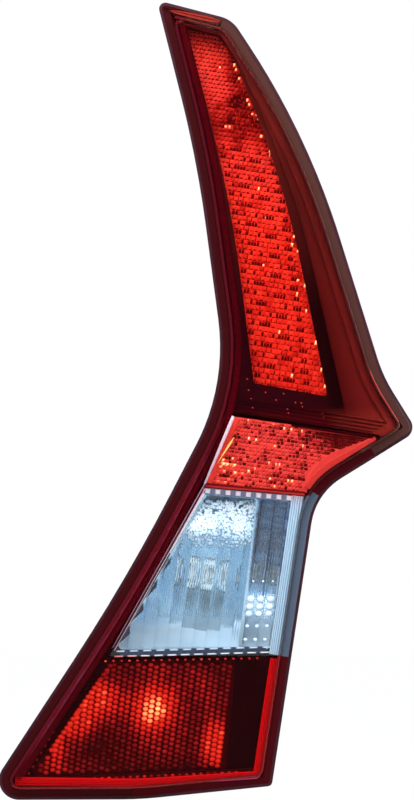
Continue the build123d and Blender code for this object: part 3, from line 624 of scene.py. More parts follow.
def toned(name, stops, gloss, painted_flash=None, shine=0.12):
    """Plastic whose colour follows the tone of each facet; a painted flash is (colour, strength, lowest
    tone), a glow on tones above the lowest.
    """
    material, tree, shader = finish(name)
    facet = facet_tone(tree)
    sockets = {
        "Base Color": tones(tree, facet, stops),
        "Roughness": clouded(tree, 400.0, gloss),
        "Specular IOR Level": shine,
    }
    if painted_flash:
        colour, strength, lowest = painted_flash
        sockets["Emission Color"] = (*colour, 1.0)
        sockets["Emission Strength"] = mapped(tree, facet, (lowest, 1.0), (0.0, strength))
    feed(tree, shader, sockets)
    return material


TAIL_WINDOW = [
    (-64.6, 360.8, 2.0),
    (-37.5, 354.5, 5.0),
    (-23.5, 335.5, 12.0),
    (20.4, 223.1, 800.0),
    (55.7, 47.2, 2.0),
    (-6.8, 58.6, 2.0),
    (-28.1, 226.1, 900.0),
]
TAIL_FOOT = Vector((24.5, 53.0))
TAIL_HEAD = Vector((-47.0, 359.0))
TAIL_TILT = math.radians(9.0)
TAIL_DEPTH = 21.0
TAIL_TOOTH = 1.5
TAIL_GROW = 2.6
TAIL_THICKNESS = 2.4
ROW_PITCH = 4.5
CELL_WIDTH = 4.6
CLOSING_UP = 1.2
LEAST_STRETCH = 0.3
BAR_WIDTH = 1.9
BAR_STEP = 2.5
BAR_PLACES = (
    ((8.5, 1), (14.5, 4), (39.0, 1), (46.0, 3)),
    ((5.0, 2), (14.5, 1), (24.5, 1), (30.5, 4), (48.0, 2)),
)
BAR_STRAY = 0.8
BAR_SEAT = 0.1
BAR_CUTS = (0.1, 0.25)
# Dark bars of painted shade.
BAR_SHADE_TONES = (0.0, 0.12)
BARRED_SHARE = 0.62
# Painted shade in cloudy patches across the rows.
PAINTED_SHADE_GRAIN = (0.09, 0.35)
PAINTED_SHADE_SLICE = 3.0
PAINTED_SHADE_DEPTH = 0.25
# Patches of painted shade; the last, of negative strength, is painted light.
TAIL_PAINTED_LIGHT_AND_SHADE = (
    (Vector((-25.0, 326.0)), 8.0, 19.0, 0.55),
    (Vector((-17.0, 301.0)), 9.0, 12.0, 0.5),
    (Vector((-24.0, 279.0)), 34.0, 18.0, 0.54),
    (Vector((0.0, 262.0)), 8.0, 16.0, 0.25),
    (Vector((-52.0, 346.0)), 15.0, 17.0, -0.22),
)
PRISM_TONE = 0.64
PRISM_STRAY = (-0.1, 0.08)
# Painted light towards the top of the window.
PAINTED_HEAD_LIGHT = 0.16
BRIGHTEST_PRISM = 0.78
# Painted shade on the foot facet and the outboard side.
FOOT_SHADE_TONES = (0.2, 0.5)
FOOT_SHADE_LOSS = 0.3
SIDE_SHADE_LOSS = 0.2
SIDE_STRAY = (0.0, 0.08)
PEAK_ACROSS = (0.3, 0.7)
PEAK_UP = (0.14, 0.32)
PEAK_LIFT = 0.2
MIDDLE = (0.5, 0.5)
# Glints that glow: painted highlights, more towards the outboard edge.
GLITTER_CHANCE = 0.012
GLITTER_GAIN = 0.9
GLITTER_START = 0.72
GLITTER_WIDTHS = (0.25, 0.5)
GLITTER_CUTS = (0.1, 0.5)
# Dark ticks of painted shade.
TICK_CHANCE = 0.3
TICK_WIDTH = 0.75
TICK_CUTS = (0.3, 0.6)
TICK_SHADE_TONES = (0.05, 0.25)
TOOTH_SHARES = (0.35, 0.7)
chance = random.Random(7)


def tail_surface(place):
    """Y of the prism plate, which is straight along its rows."""
    upward = Vector((math.sin(TAIL_TILT), math.cos(TAIL_TILT)))
    share = (place - TAIL_FOOT).dot(upward) / (TAIL_HEAD - TAIL_FOOT).dot(upward)
    middle = TAIL_FOOT + (TAIL_HEAD - TAIL_FOOT) * share
    return lens_front(middle.x, middle.y) + TAIL_DEPTH


def dark_bars(places, start, end):
    """Bars of a row as (first, last) along it, from groups (place, count)."""
    bars = []
    for place, count in places:
        place += chance.uniform(-BAR_STRAY, BAR_STRAY)
        firsts = [start + place + BAR_STEP * i for i in range(count)]
        bars += [(first, first + BAR_WIDTH) for first in firsts if first + BAR_WIDTH < end]
    return bars


def bright_stretches(start, end, bars):
    """What is left of a row between its dark bars."""
    edges = [start]
    for first, last in bars:
        edges += [first, last]
    edges.append(end)
    return [(a, b) for a, b in zip(edges[::2], edges[1::2]) if b - a > LEAST_STRETCH]


def tail_pitch(share):
    """Height of a row, at a share of the way up the window."""
    return ROW_PITCH - CLOSING_UP * share


tail_outline = rounded(TAIL_WINDOW)
mesh, tone = toned_mesh()
along, upward, bands = row_bands(tail_outline, TAIL_TILT, tail_pitch, TAIL_GROW)
rows = (along, upward)
plate(mesh, tone, BASE_TONE, rungs_of(along, upward, bands), tail_surface, TAIL_THICKNESS)
for row, (below, above) in enumerate(zip(bands, bands[1:])):
    upper = row / len(bands)
    start = min(below[1], above[1])
    end = max(below[2], above[2])
    height = above[0] - below[0]
    # Dark bars of painted shade on every other row.
    barred = row % 2 == 0 and upper < BARRED_SHARE
    bars = dark_bars(BAR_PLACES[row // 2 % 2], start, end) if barred else []
    for first, last in bars:
        ends = (first, last, below[0] + BAR_SEAT * height, above[0] - height * chance.uniform(*BAR_CUTS))
        shades = [chance.uniform(*BAR_SHADE_TONES)] * 4
        leaning_cell(mesh, tone, rows, ends, tail_surface, TAIL_TOOTH * 0.5, MIDDLE, shades)
    for first, last in bright_stretches(start, end, bars):
        cell_count = max(1, round((last - first) / (CELL_WIDTH - CLOSING_UP * upper)))
        for i in range(cell_count):
            left = first + (last - first) * i / cell_count
            right = first + (last - first) * (i + 1) / cell_count
            across = (left - start) / (end - start)
            # Painted shade in cloudy patches and in listed patches, painted light towards the top.
            painted_shade = noise.noise(Vector((left * PAINTED_SHADE_GRAIN[0], row * PAINTED_SHADE_GRAIN[1], PAINTED_SHADE_SLICE)))
            bright = PRISM_TONE + chance.uniform(*PRISM_STRAY) - PAINTED_SHADE_DEPTH * max(0.0, painted_shade) * (1.0 + upper)
            bright += PAINTED_HEAD_LIGHT * upper - painted_patches(along * left + upward * below[0], TAIL_PAINTED_LIGHT_AND_SHADE)
            bright = min(BRIGHTEST_PRISM, bright)
            # Painted shade on the foot facet and, higher up, the outboard side; the top facet is brightest.
            foot = chance.uniform(*FOOT_SHADE_TONES) - FOOT_SHADE_LOSS * upper
            shades = [foot, bright - SIDE_SHADE_LOSS * upper, bright, bright - chance.uniform(*SIDE_STRAY)]
            lean = (chance.uniform(*PEAK_ACROSS), chance.uniform(*PEAK_UP) + PEAK_LIFT * upper)
            ends = [left, right, below[0], above[0]]
            # Some prisms turn to glints that glow, painted highlights, more of them outboard.
            if chance.random() < GLITTER_CHANCE + GLITTER_GAIN * max(0.0, across - GLITTER_START):
                ends[1] = left + (right - left) * chance.uniform(*GLITTER_WIDTHS)
                ends[3] -= height * chance.uniform(*GLITTER_CUTS)
                shades = [0.7, 0.9, 1.0, chance.uniform(0.86, 1.0)]
            # Others get a dark tick of painted shade at their outboard side.
            elif chance.random() < TICK_CHANCE:
                ends[1] = right - TICK_WIDTH
                tick = (ends[1], right, below[0], above[0] - height * chance.uniform(*TICK_CUTS))
                dark = [chance.uniform(*TICK_SHADE_TONES)] * 4
                leaning_cell(mesh, tone, rows, tick, tail_surface, TAIL_TOOTH * 0.4, MIDDLE, dark)
            tooth = TAIL_TOOTH * chance.uniform(*TOOTH_SHARES)
            leaning_cell(mesh, tone, rows, ends, tail_surface, tooth, lean, shades)
PRISM_STOPS = [
    (0.0, (0.05, 0.004, 0.004)),
    (0.3, (0.34, 0.06, 0.04)),
    (0.6, (0.76, 0.28, 0.2)),
    (0.82, (1.0, 0.6, 0.4)),
    (1.0, (1.0, 0.9, 0.6)),
]
# Painted glints: a yellow glow on the brightest facets.
YELLOW_PAINTED_GLINT = ((1.0, 0.95, 0.5), 6.0, 0.86)
# Painted pale sheen on the bright facets high in the window.
PINK_SHEEN_STOPS = [(0.35, (0.95, 0.80, 0.72)), (0.6, (0.80, 0.74, 0.95))]
PINK_AXIS = (0.25, 0.0, 0.97)
PINK_SPAN = (0.18, 0.29)
PINK_SHARES = (0.9, 1.9)
prism_red = toned("prism_red", PRISM_STOPS, (0.18, 0.32), YELLOW_PAINTED_GLINT)
tree = prism_red.node_tree
upper_window = share_along(tree, PINK_AXIS, PINK_SPAN)
patchy = clouded(tree, 38.0, PINK_SHARES)
facet = facet_tone(tree)
pink_sheen_share = joined(tree, "MULTIPLY", upper_window, patchy, facet, facet)
overlay(prism_red, pink_sheen_share, tones(tree, cloud(tree, 24.0), PINK_SHEEN_STOPS))
add_piece("tail_prisms", mesh, prism_red, "prism_plate", "tail_prism_panel")

# Reflex plate at the waist
# A red acrylic moulding held close behind the lens, with rows of square corner prisms inside a smooth
# margin. Every other row is set over by half a cell. Light and shade are painted into the facets: a
# darker foot and a lighter top on each prism, painted shade that darkens the plate towards its outboard
# tip and lies in streaks along the rows, with more dark cells there, painted light near the inboard
# side, and glints that glow, most along one row near the top.
REFLEX_ZONE = [
    (-24.6, 30.6, 2.0),
    (106.0, 12.2, 2.0),
    (44.0, -13.5, 20.0),
    (37.5, -36.5, 2.0),
    (-50.1, -28.9, 2.0),
]
REFLEX_TILT = math.radians(8.0)
REFLEX_PITCH = 3.1
REFLEX_TOOTH = 0.6
REFLEX_MARGIN = 3.5
REFLEX_DEPTH = 6.4
REFLEX_THICKNESS = 1.6
REFLEX_GROW = -0.4
# Painted shade towards the outboard tip, and painted light near the inboard side.
TIP_PAINTED_SHADE = (Vector((67.0, 12.0)), 27.0, 13.0, 1.3)
INNER_PAINTED_LIGHT = (Vector((-34.0, -17.0)), 18.0, 15.0, 0.2)
# Painted shade in streaks along the rows.
SHADE_STREAK_GRAIN = (0.05, 0.9)
SHADE_STREAK_SLICE = 9.0
SHADE_STREAK_DEPTH = 0.9
REFLEX_TONE = 0.58
REFLEX_STRAY = (-0.2, 0.18)
PAINTED_SHADE_LOSS = 0.4
DARK_CHANCE = 0.14
DARK_GAIN = 0.75
DARK_TONE = 0.2
GLITTER_LOT = 0.955
TOP_ROW_LOT = 0.78


def set_back(depth):
    """Surface that follows the lens, straight back by a depth."""
    return lambda place: lens_front(place.x, place.y) + depth


reflex_surface = set_back(REFLEX_DEPTH)
reflex_outline = rounded(REFLEX_ZONE)
mesh, tone = toned_mesh()
along, upward, bands = row_bands(reflex_outline, REFLEX_TILT, lambda share: REFLEX_PITCH, REFLEX_GROW)
rows = (along, upward)
plate(mesh, tone, 0.6, rungs_of(along, upward, bands), reflex_surface, REFLEX_THICKNESS)
for row, (below, above) in enumerate(zip(bands, bands[1:])):
    station = max(below[1], above[1]) + REFLEX_MARGIN + (0.5 * REFLEX_PITCH if row % 2 else 0.0)
    glitter_lot = TOP_ROW_LOT if row == len(bands) - 3 else GLITTER_LOT
    while station + REFLEX_PITCH < min(below[2], above[2]) - REFLEX_MARGIN:
        centre = along * station + upward * below[0]
        # Painted shade towards the tip and in streaks; painted light near the inboard side.
        shade_streak = noise.noise(Vector((station * SHADE_STREAK_GRAIN[0], row * SHADE_STREAK_GRAIN[1], SHADE_STREAK_SLICE)))
        painted_shade = painted_patches(centre, (TIP_PAINTED_SHADE,)) + SHADE_STREAK_DEPTH * max(0.0, shade_streak)
        bright = REFLEX_TONE + chance.uniform(*REFLEX_STRAY) - PAINTED_SHADE_LOSS * painted_shade
        bright += painted_patches(centre, (INNER_PAINTED_LIGHT,))
        # Painted shade on the foot facet, painted light on the top facet.
        foot = bright - chance.uniform(0.1, 0.4)
        shades = [foot, bright - chance.uniform(0.0, 0.15), bright + 0.08, bright]
        lean = (chance.uniform(0.3, 0.7), chance.uniform(0.2, 0.45))
        ends = [station, station + REFLEX_PITCH, below[0], above[0]]
        lot = chance.random()
        # Dark cells, some at random and more where the painted shade lies.
        if lot < DARK_CHANCE + DARK_GAIN * painted_shade:
            shades = [chance.uniform(0.0, DARK_TONE / (1.0 + 2.0 * painted_shade))] * 4
            ends[1] -= REFLEX_PITCH * chance.uniform(0.0, 0.4) * max(0.0, 1.0 - painted_shade)
            ends[3] -= REFLEX_PITCH * chance.uniform(0.1, 0.5) * max(0.0, 1.0 - painted_shade)
        # Glints that glow, painted highlights, most along one row near the top.
        elif lot > glitter_lot and painted_shade < 0.5:
            shades = [0.8, 0.9, 1.0, chance.uniform(0.88, 1.0)]
            ends[1] -= REFLEX_PITCH * chance.uniform(0.4, 0.75)
            ends[3] -= REFLEX_PITCH * chance.uniform(0.0, 0.4)
        leaning_cell(mesh, tone, rows, ends, reflex_surface, REFLEX_TOOTH, lean, shades)
        station += REFLEX_PITCH
REFLEX_STOPS = [
    (0.0, (0.06, 0.02, 0.03)),
    (0.3, (0.40, 0.26, 0.36)),
    (0.6, (0.80, 0.80, 1.0)),
    (0.82, (0.95, 0.95, 1.0)),
    (1.0, (1.0, 0.95, 0.8)),
]
reflex_red = toned("reflex_red", REFLEX_STOPS, (0.16, 0.3), YELLOW_PAINTED_GLINT)
add_piece("reflex_prisms", mesh, reflex_red, "reflex_plate", "reflex_panel")

# Pips under the window
# Small prism tips moulded on the shelf of the mask below the prism plate. Each of them catches
# a point of light.
PIP_PLACES = (
    (-9.4, 45.0), (-8.0, 37.6), (-6.4, 30.6), (-12.6, 62.0), (-11.4, 52.6),
    (12.0, 44.2), (28.4, 42.0), (33.4, 41.6), (34.2, 38.4), (21.6, 36.4),
    (22.4, 33.0), (51.4, 32.6), (52.6, 29.4), (3.0, 50.6), (18.4, 49.6),
)
PIP_HALF = 0.6
PIP_SHADES = [0.5, 0.4, 0.5, 0.4]
SQUARE = ((-1, -1), (1, -1), (1, 1), (-1, 1))


def on_solid(name):
    """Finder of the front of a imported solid, as Y at a place."""
    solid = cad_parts[name]

    def surface(place):
        start = Vector((place.x * MM, -1.0, place.y * MM))
        _, spot, _, _ = solid.ray_cast(start, Vector((0.0, 1.0, 0.0)))
        return spot.y / MM

    return surface


mesh, tone = toned_mesh()
shelf = on_solid("arm_bezel")
for x, z in PIP_PLACES:
    seat = shelf(Vector((x, z)))
    corners = [(x + a * PIP_HALF, seat, z + b * PIP_HALF) for a, b in SQUARE]
    prism_cell(mesh, tone, corners, (x, seat - PIP_HALF, z), PIP_SHADES)
add_piece("shelf_pips", mesh, reflex_red, "prism_plate")

# Fluted optic
# A clear acrylic plate pressed against the rim of the twin bowl, with round upright flutes that are
# themselves finely ribbed.
OPTIC_ZONE = [Vector((-48.0, -34.9)), Vector((23.4, -40.8)), Vector((6.4, -167.5)), Vector((-124.0, -167.5))]
FLUTE_MIDDLE = Vector((-40.5, -102.5))
FLUTE_WAY = Vector((-17.0, -129.0)).normalized()
FLUTE_DEPTH = 5.6
FLUTE_PITCH = 10.8
FLUTE_RISE = 1.6
FLUTE_LINES = 180
OPTIC_BACK = 9.0
RIBS_A_FLUTE = 5
RIB_RISE = 0.22
SAMPLES_A_RIB = 4
LENGTHS_A_FLUTE = 8
SLOPE_STEP = 0.5
POLISH = (0.0, 0.03)


def under_lens(place, depth):
    """Y of a point that lies a depth behind the outside of the lens, measured square to it."""
    slope_x = lens_front(place.x + SLOPE_STEP, place.y) - lens_front(place.x - SLOPE_STEP, place.y)
    slope_z = lens_front(place.x, place.y + SLOPE_STEP) - lens_front(place.x, place.y - SLOPE_STEP)
    return lens_front(place.x, place.y) + depth * math.sqrt(1 + slope_x**2 + slope_z**2)


def clear_moulding(name, through, shade, index, sheen=(1.0, 1.0, 1.0)):
    """Clear or tinted acrylic: bends what is seen through it, and lets the lamps' light past."""
    material, tree, shader = finish(name)
    sockets = {
        "Base Color": (*through, 1.0),
        "Transmission Weight": 1.0,
        "IOR": index,
        "Specular Tint": (*sheen, 1.0),
        "Roughness": clouded(tree, 60.0, POLISH),
    }
    feed(tree, shader, sockets)
    ray = tree.nodes.new("ShaderNodeLightPath").outputs
    show(tree, ray["Is Shadow Ray"], shader.outputs["BSDF"], see_through(tree, shade))
    return material


def chord(outline, place, way):
    """Where a line through a place enters and leaves an outline, as distances along it."""
    side = Vector((-way.y, way.x))
    hits = []
    for a, b in zip(outline, outline[1:] + outline[:1]):
        here = (a - place).dot(side)
        there = (b - place).dot(side)
        if (here > 0) != (there > 0):
            hits.append((a.lerp(b, here / (here - there)) - place).dot(way))
    return (min(hits), max(hits)) if hits else None


clear_optic = clear_moulding("clear_optic", (0.93, 0.97, 1.0), (0.98, 0.99, 1.0), index=1.45)
flute_side = Vector((-FLUTE_WAY.y, FLUTE_WAY.x))
step = FLUTE_PITCH / RIBS_A_FLUTE / SAMPLES_A_RIB
mesh = bmesh.new()
rings = []
for line in range(-FLUTE_LINES, FLUTE_LINES + 1):
    offset = line * step
    on_axis = FLUTE_MIDDLE + flute_side * offset
    ends = chord(OPTIC_ZONE, on_axis, FLUTE_WAY)
    if not ends:
        continue
    near, far = ends
    in_flute = 2 * ((offset / FLUTE_PITCH) % 1.0) - 1
    rib = abs(math.sin(math.pi * offset * RIBS_A_FLUTE / FLUTE_PITCH))
    depth = FLUTE_DEPTH + FLUTE_RISE * in_flute**2 - RIB_RISE * rib
    ring = []
    for i in range(LENGTHS_A_FLUTE + 1):
        place = on_axis + FLUTE_WAY * (near + (far - near) * i / LENGTHS_A_FLUTE)
        front = vertex(mesh, place, under_lens(place, depth))
        ring.append((front, vertex(mesh, place, under_lens(place, OPTIC_BACK))))
    rings.append(ring)
for ring, after in zip(rings, rings[1:]):
    for i in range(LENGTHS_A_FLUTE):
        for side in (0, 1):
            mesh.faces.new((ring[i][side], ring[i + 1][side], after[i + 1][side], after[i][side]))
    for i in (0, LENGTHS_A_FLUTE):
        mesh.faces.new((ring[i][0], ring[i][1], after[i][1], after[i][0]))
for ring in (rings[0], rings[-1]):
    for i in range(LENGTHS_A_FLUTE):
        mesh.faces.new((ring[i][0], ring[i + 1][0], ring[i + 1][1], ring[i][1]))
add_piece("signal_flutes", mesh, clear_optic, "clear_optic", "signal_optic")

# Pillow optic of the bottom chamber
# A plate seated in front of the bottom bowl, pressed with leaning columns of small round pillows. Their
# dots of light are painted: each pillow is toned by its place, warm and glowing in front of the bulb, red
# towards its two ends, and drawn larger where brighter; small dots and ticks at its head and foot glow too.
FOG_ZONE = [(-129.7, -177.9, 3.0), (-23.2, -177.9, 2.0), (-30.6, -270.0, 2.0), (-197.6, -276.0, 3.0)]
FOG_DEPTH = 7.2
FOG_THICKNESS = 1.6
PILLOW_ACROSS = 5.2
PILLOW_UP = 4.2
PILLOW_RISE = 1.0
PILLOW_LEAN = 0.12
PILLOW_FILL = (0.38, 0.57)
PILLOW_SIDES = 8
PILLOW_RINGS = (1.0, 0.72, 0.38)
PILLOW_SHADES = (0.55, 0.95)
COLUMN_SHIFT = 0.25
CLEAR_OF_EDGE = 0.46
EDGE_PILLOWS = 26
EDGE_PILLOW_INSET = 3.3
# Painted light at the core, in front of the bulb.
CORE_PAINTED_LIGHT = (
    (Vector((-92.4, -222.0)), 15.0, 17.0, 0.54),
    (Vector((-94.0, -218.0)), 30.0, 30.0, 0.24),
)
# Painted light towards the two ends and along the edges.
END_PAINTED_LIGHT = (
    (Vector((-146.0, -208.0)), 19.0, 15.0, 0.6),
    (Vector((-158.0, -226.0)), 17.0, 17.0, 0.7),
    (Vector((-177.0, -252.0)), 11.0, 19.0, 0.6),
    (Vector((-39.0, -249.0)), 10.0, 19.0, 1.0),
    (Vector((-100.0, -183.0)), 40.0, 6.0, 0.12),
    (Vector((-160.0, -270.0)), 34.0, 7.0, 0.16),
    (Vector((-80.0, -253.0)), 20.0, 10.0, 0.1),
    (Vector((-76.0, -208.0)), 75.0, 24.0, 0.18),
)
END_TONE = 0.66
FOG_TONE = 0.08
FOG_CLOUD = 0.14
FOG_GRAIN = (0.05, 0.03)
FOG_STRAY = 0.06
LEAST_TONE = 0.02
DOT_ROWS = (
    (Vector((-133.0, -177.6)), Vector((-4.0, -175.4)), 20, (1.2, 0.9, 0.8), 6.9, (0.5, 0.75)),
    (Vector((-184.0, -279.2)), Vector((-22.0, -272.6)), 28, (1.7, 1.3, 0.5), 4.5, (0.2, 0.5)),
)
FOOT_TICKS = (-34.0, -27.5, -21.0, -14.5)
FOOT_TICK_HEIGHT = -272.4
FOOT_TICK_SIZE = (0.8, 1.9, 0.8)
FOOT_TICK_DEPTH = 6.9


def sunk(depth):
    """Surface at a depth under the lens, measured square to it."""
    return lambda place: under_lens(place, depth)


def pillow(mesh, tone, centre, half_across, half_up, rise, surface, value):
    """Low round dome on a surface, closed by its base, with a painted highlight that brightens it towards its
    top.
    """
    rings = []
    for share in PILLOW_RINGS:
        ring = []
        for i in range(PILLOW_SIDES):
            angle = 2 * math.pi * i / PILLOW_SIDES
            offset = Vector((half_across * share * math.cos(angle), half_up * share * math.sin(angle)))
            place = centre + offset
            ring.append(vertex(mesh, place, surface(place) - rise * (1 - share**2)))
        rings.append(ring)
    mesh.faces.new(rings[0])[tone] = 0.0
    for low, high, share in zip(rings, rings[1:], PILLOW_SHADES):
        for i in range(PILLOW_SIDES):
            j = (i + 1) % PILLOW_SIDES
            mesh.faces.new((low[i], low[j], high[j], high[i]))[tone] = value * share
    top = vertex(mesh, centre, surface(centre) - rise)
    for i in range(PILLOW_SIDES):
        mesh.faces.new((rings[-1][i], rings[-1][(i + 1) % PILLOW_SIDES], top))[tone] = value


fog_surface = set_back(FOG_DEPTH)
fog_outline = rounded(FOG_ZONE)
head_left, head_right, foot_right, foot_left = [Vector(corner[:2]) for corner in FOG_ZONE]
row_count = round((head_left.y - foot_left.y) / PILLOW_UP)
rungs = []
for i in range(row_count + 1):
    rungs.append((foot_left.lerp(head_left, i / row_count), foot_right.lerp(head_right, i / row_count)))
mesh, tone = toned_mesh()
plate(mesh, tone, 0.0, rungs, fog_surface, FOG_THICKNESS)
pillow_centres = []
for low, high in zip(rungs, rungs[1:]):
    left = low[0].lerp(high[0], 0.5)
    right = low[1].lerp(high[1], 0.5)
    lean = PILLOW_LEAN * left.y
    first = math.ceil((left.x - lean) / PILLOW_ACROSS)
    last = math.floor((right.x - lean) / PILLOW_ACROSS)
    for column in range(first, last + 1):
        x = column * PILLOW_ACROSS + lean
        centre = left.lerp(right, (x - left.x) / (right.x - left.x))
        centre.y += PILLOW_UP * (COLUMN_SHIFT if column % 2 else -COLUMN_SHIFT)
        if depth_inside(fog_outline, centre) > PILLOW_ACROSS * CLEAR_OF_EDGE:
            pillow_centres.append(centre)
for i in range(EDGE_PILLOWS // 4, EDGE_PILLOWS):
    pillow_centres.append(foot_left.lerp(head_left, i / EDGE_PILLOWS) + Vector((EDGE_PILLOW_INSET, 0.0)))
for centre in pillow_centres:
    # Each pillow's tone is painted light from its place, with cloudy and random variation.
    clouds = noise.noise(Vector((centre.x * FOG_GRAIN[0], centre.y * FOG_GRAIN[1], 1.0)))
    value = FOG_TONE + FOG_CLOUD * clouds
    value = min(END_TONE, value + painted_patches(centre, END_PAINTED_LIGHT)) + painted_patches(centre, CORE_PAINTED_LIGHT)
    value = max(LEAST_TONE, min(1.0, value + chance.uniform(-FOG_STRAY, FOG_STRAY)))
    fill = PILLOW_FILL[0] + (PILLOW_FILL[1] - PILLOW_FILL[0]) * min(1.0, value / END_TONE)
    pillow(mesh, tone, centre, PILLOW_ACROSS * fill, PILLOW_UP * fill, PILLOW_RISE, fog_surface, value)
# Dots and ticks along the head and foot; the brighter ones glow, painted glints.
for start, end, count, size, depth, dot_tones in DOT_ROWS:
    for i in range(count):
        centre = start.lerp(end, i / (count - 1))
        pillow(mesh, tone, centre, *size, sunk(depth), chance.uniform(*dot_tones))
for x in FOOT_TICKS:
    pillow(mesh, tone, Vector((x, FOOT_TICK_HEIGHT)), *FOOT_TICK_SIZE, sunk(FOOT_TICK_DEPTH), 0.75)
PILLOW_STOPS = [
    (0.0, (0.022, 0.002, 0.003)),
    (0.25, (0.28, 0.07, 0.10)),
    (0.5, (0.85, 0.24, 0.16)),
    (0.75, (1.0, 0.6, 0.3)),
    (1.0, (1.0, 0.9, 0.6)),
]
# Painted glow on the brightest pillows.
FOG_PAINTED_GLOW = ((1.0, 0.9, 0.4), 5.0, 0.68)
fog_red = toned("fog_red", PILLOW_STOPS, (0.2, 0.35), FOG_PAINTED_GLOW)
add_piece("fog_pillows", mesh, fog_red, "clear_optic", "fog_optic")

# Inboard bead
# A crimson half-round bead, moulded on the masks just under the lens along the whole inboard edge.
# It darkens up the arm. Across it, painted shade darkens the flank towards the window, and the crest
# is lightest.
SILHOUETTE = [
    (-89.8, 386.1, 5.5),
    (-25.5, 369.3, 26.0),
    (38.8, 271.1, 650.0),
    (103.3, 64.6, 125.0),
    (132.6, 17.8, 10.5),
    (45.9, -35.7, 54.0),
    (8.5, -284.8, 4.5),
    (-103.7, -295.8, 340.0),
    (-238.0, -295.8, 17.0),
    (-115.6, -108.8, 1600.0),
    (-29.8, 56.9, 180.0),
    (-55.2, 248.2, 1000.0),
]
COURSE_STEP = 4.0
FOLD_ROOM = 0.4
BURIED = 0.4
# Tones across the bead: painted shade on the flank towards the window, the crest lightest.
HALF_ROUND = [
    (-0.5, 0.0, 0.12),
    (-0.34, 0.8, 0.17),
    (-0.1, 1.0, 0.19),
    (0.2, 0.95, 0.14),
    (0.4, 0.6, 0.07),
    (0.5, 0.0, 0.02),
]
BEAD_INSET = 15.9
BEAD_FADE = (10.0, 90.0)
BEAD_SHADE = 0.5
RED_STOPS = [
    (0.0, (0.015, 0.003, 0.006)),
    (0.3, (0.13, 0.012, 0.14)),
    (0.6, (0.80, 0.06, 0.08)),
    (0.8, (1.0, 0.4, 0.12)),
    (1.0, (1.0, 0.85, 0.9)),
]
TRIM_GLOSS = (0.2, 0.35)


def course(corners):
    """Open line through corners (x, z, radius), its corners rounded, cut into short lengths."""
    points = [Vector(corners[0][:2])]
    for before, here, after in zip(corners, corners[1:], corners[2:]):
        points += bend(before, here, after)
    points.append(Vector(corners[-1][:2]))
    line = []
    for a, b in zip(points, points[1:]):
        count = max(1, math.ceil((b - a).length / COURSE_STEP))
        line += [a.lerp(b, i / count) for i in range(count)]
    return line + [points[-1]]


def sideways(line, i):
    """Direction to the right of a line at one of its points."""
    way = (line[min(i + 1, len(line) - 1)] - line[max(i - 1, 0)]).normalized()
    return Vector((way.y, -way.x))


def ribbon(mesh, tone, line, section, widths, depths, surface=under_lens):
    """Moulding along a line: section gives (offset, rise, tone) across it, offset in shares of its width."""
    low, high = depths
    rings = []
    for i, point in enumerate(line):
        side = sideways(line, i)
        stage = (len(widths) - 1) * i / (len(line) - 1)
        before = min(int(stage), len(widths) - 2)
        width = widths[before] + (widths[before + 1] - widths[before]) * (stage - before)
        ring = []
        for offset, rise, _ in section:
            place = point + side * (offset * width)
            ring.append(vertex(mesh, place, surface(place, low + (high - low) * rise)))
        for offset in (section[-1][0], section[0][0]):
            place = point + side * (offset * width)
            ring.append(vertex(mesh, place, surface(place, low + BURIED)))
        rings.append(ring)
    values = [value for _, _, value in section] + [0.0, 0.0]
    for ring, after in zip(rings, rings[1:]):
        for i in range(len(ring)):
            j = (i + 1) % len(ring)
            mesh.faces.new((ring[i], ring[j], after[j], after[i]))[tone] = values[i]
    for ring in (rings[0], rings[-1]):
        mesh.faces.new(ring)[tone] = values[0]


def inset_line(edge, inset):
    """Line that runs inside an edge of the lamp, cut off where it would fold back at a corner."""
    line = [point + sideways(edge, i) * inset for i, point in enumerate(edge)]
    return [point for point in line if depth_inside(silhouette_outline, point) > inset - FOLD_ROOM]


bright_red = toned("bright_red", RED_STOPS, TRIM_GLOSS)
silhouette_outline = rounded(SILHOUETTE)
inboard_edge = course([*SILHOUETTE[8:], SILHOUETTE[0]])
mesh, tone = toned_mesh()
bead_line = inset_line(inboard_edge, BEAD_INSET)
ribbon(mesh, tone, bead_line, HALF_ROUND, widths=(6.6, 6.6), depths=(4.5, 3.7))
for face in mesh.faces:
    height = face.calc_center_median().z
    up_the_arm = max(0.0, min(1.0, (height - BEAD_FADE[0]) / (BEAD_FADE[1] - BEAD_FADE[0])))
    face[tone] *= 1.0 - BEAD_SHADE * up_the_arm
add_piece("inboard_bead", mesh, bright_red, "dark_trim")

# Lip, margin and light guides
# Plain mouldings under the outboard edge of the lens: a dark lip up the arm and the smooth red margin
# of the reflex plate. Below them run finely ridged acrylic guides, clear by the window and then red.
LIP_INSET = 12.7
MARGIN_SPAN = (-35.0, 11.0)
MARGIN_WIDTHS = (3.4, 5.0, 8.0, 10.6, 9.4, 5.0)
LIP_DEPTHS = (6.8, 5.4)
GUIDE_DEPTHS = (4.4, 3.6)
CLEAR_GUIDE = [(30.4, -37.2), (10.0, -172.2)]
RED_GUIDE = [(10.2, -175.6, 0.0), (-4.4, -275.0, 2.0), (-104.0, -281.2, 300.0), (-209.5, -279.4, 0.0)]
RIDGED = [(-0.5 + 0.1 * i, 1.0 if i % 2 else 0.3, 0.58 if i % 2 else 0.46) for i in range(11)]
RED_RIDGED = [(-0.5 + 0.1 * i, 1.0 if i % 2 else 0.3, 0.46 + 0.01 * i) for i in range(11)]
PALE_STOPS = [
    (0.0, (0.012, 0.016, 0.05)),
    (0.3, (0.10, 0.16, 0.26)),
    (0.6, (0.50, 0.66, 0.78)),
    (0.85, (0.74, 0.92, 1.0)),
    (1.0, (0.95, 0.97, 1.0)),
]


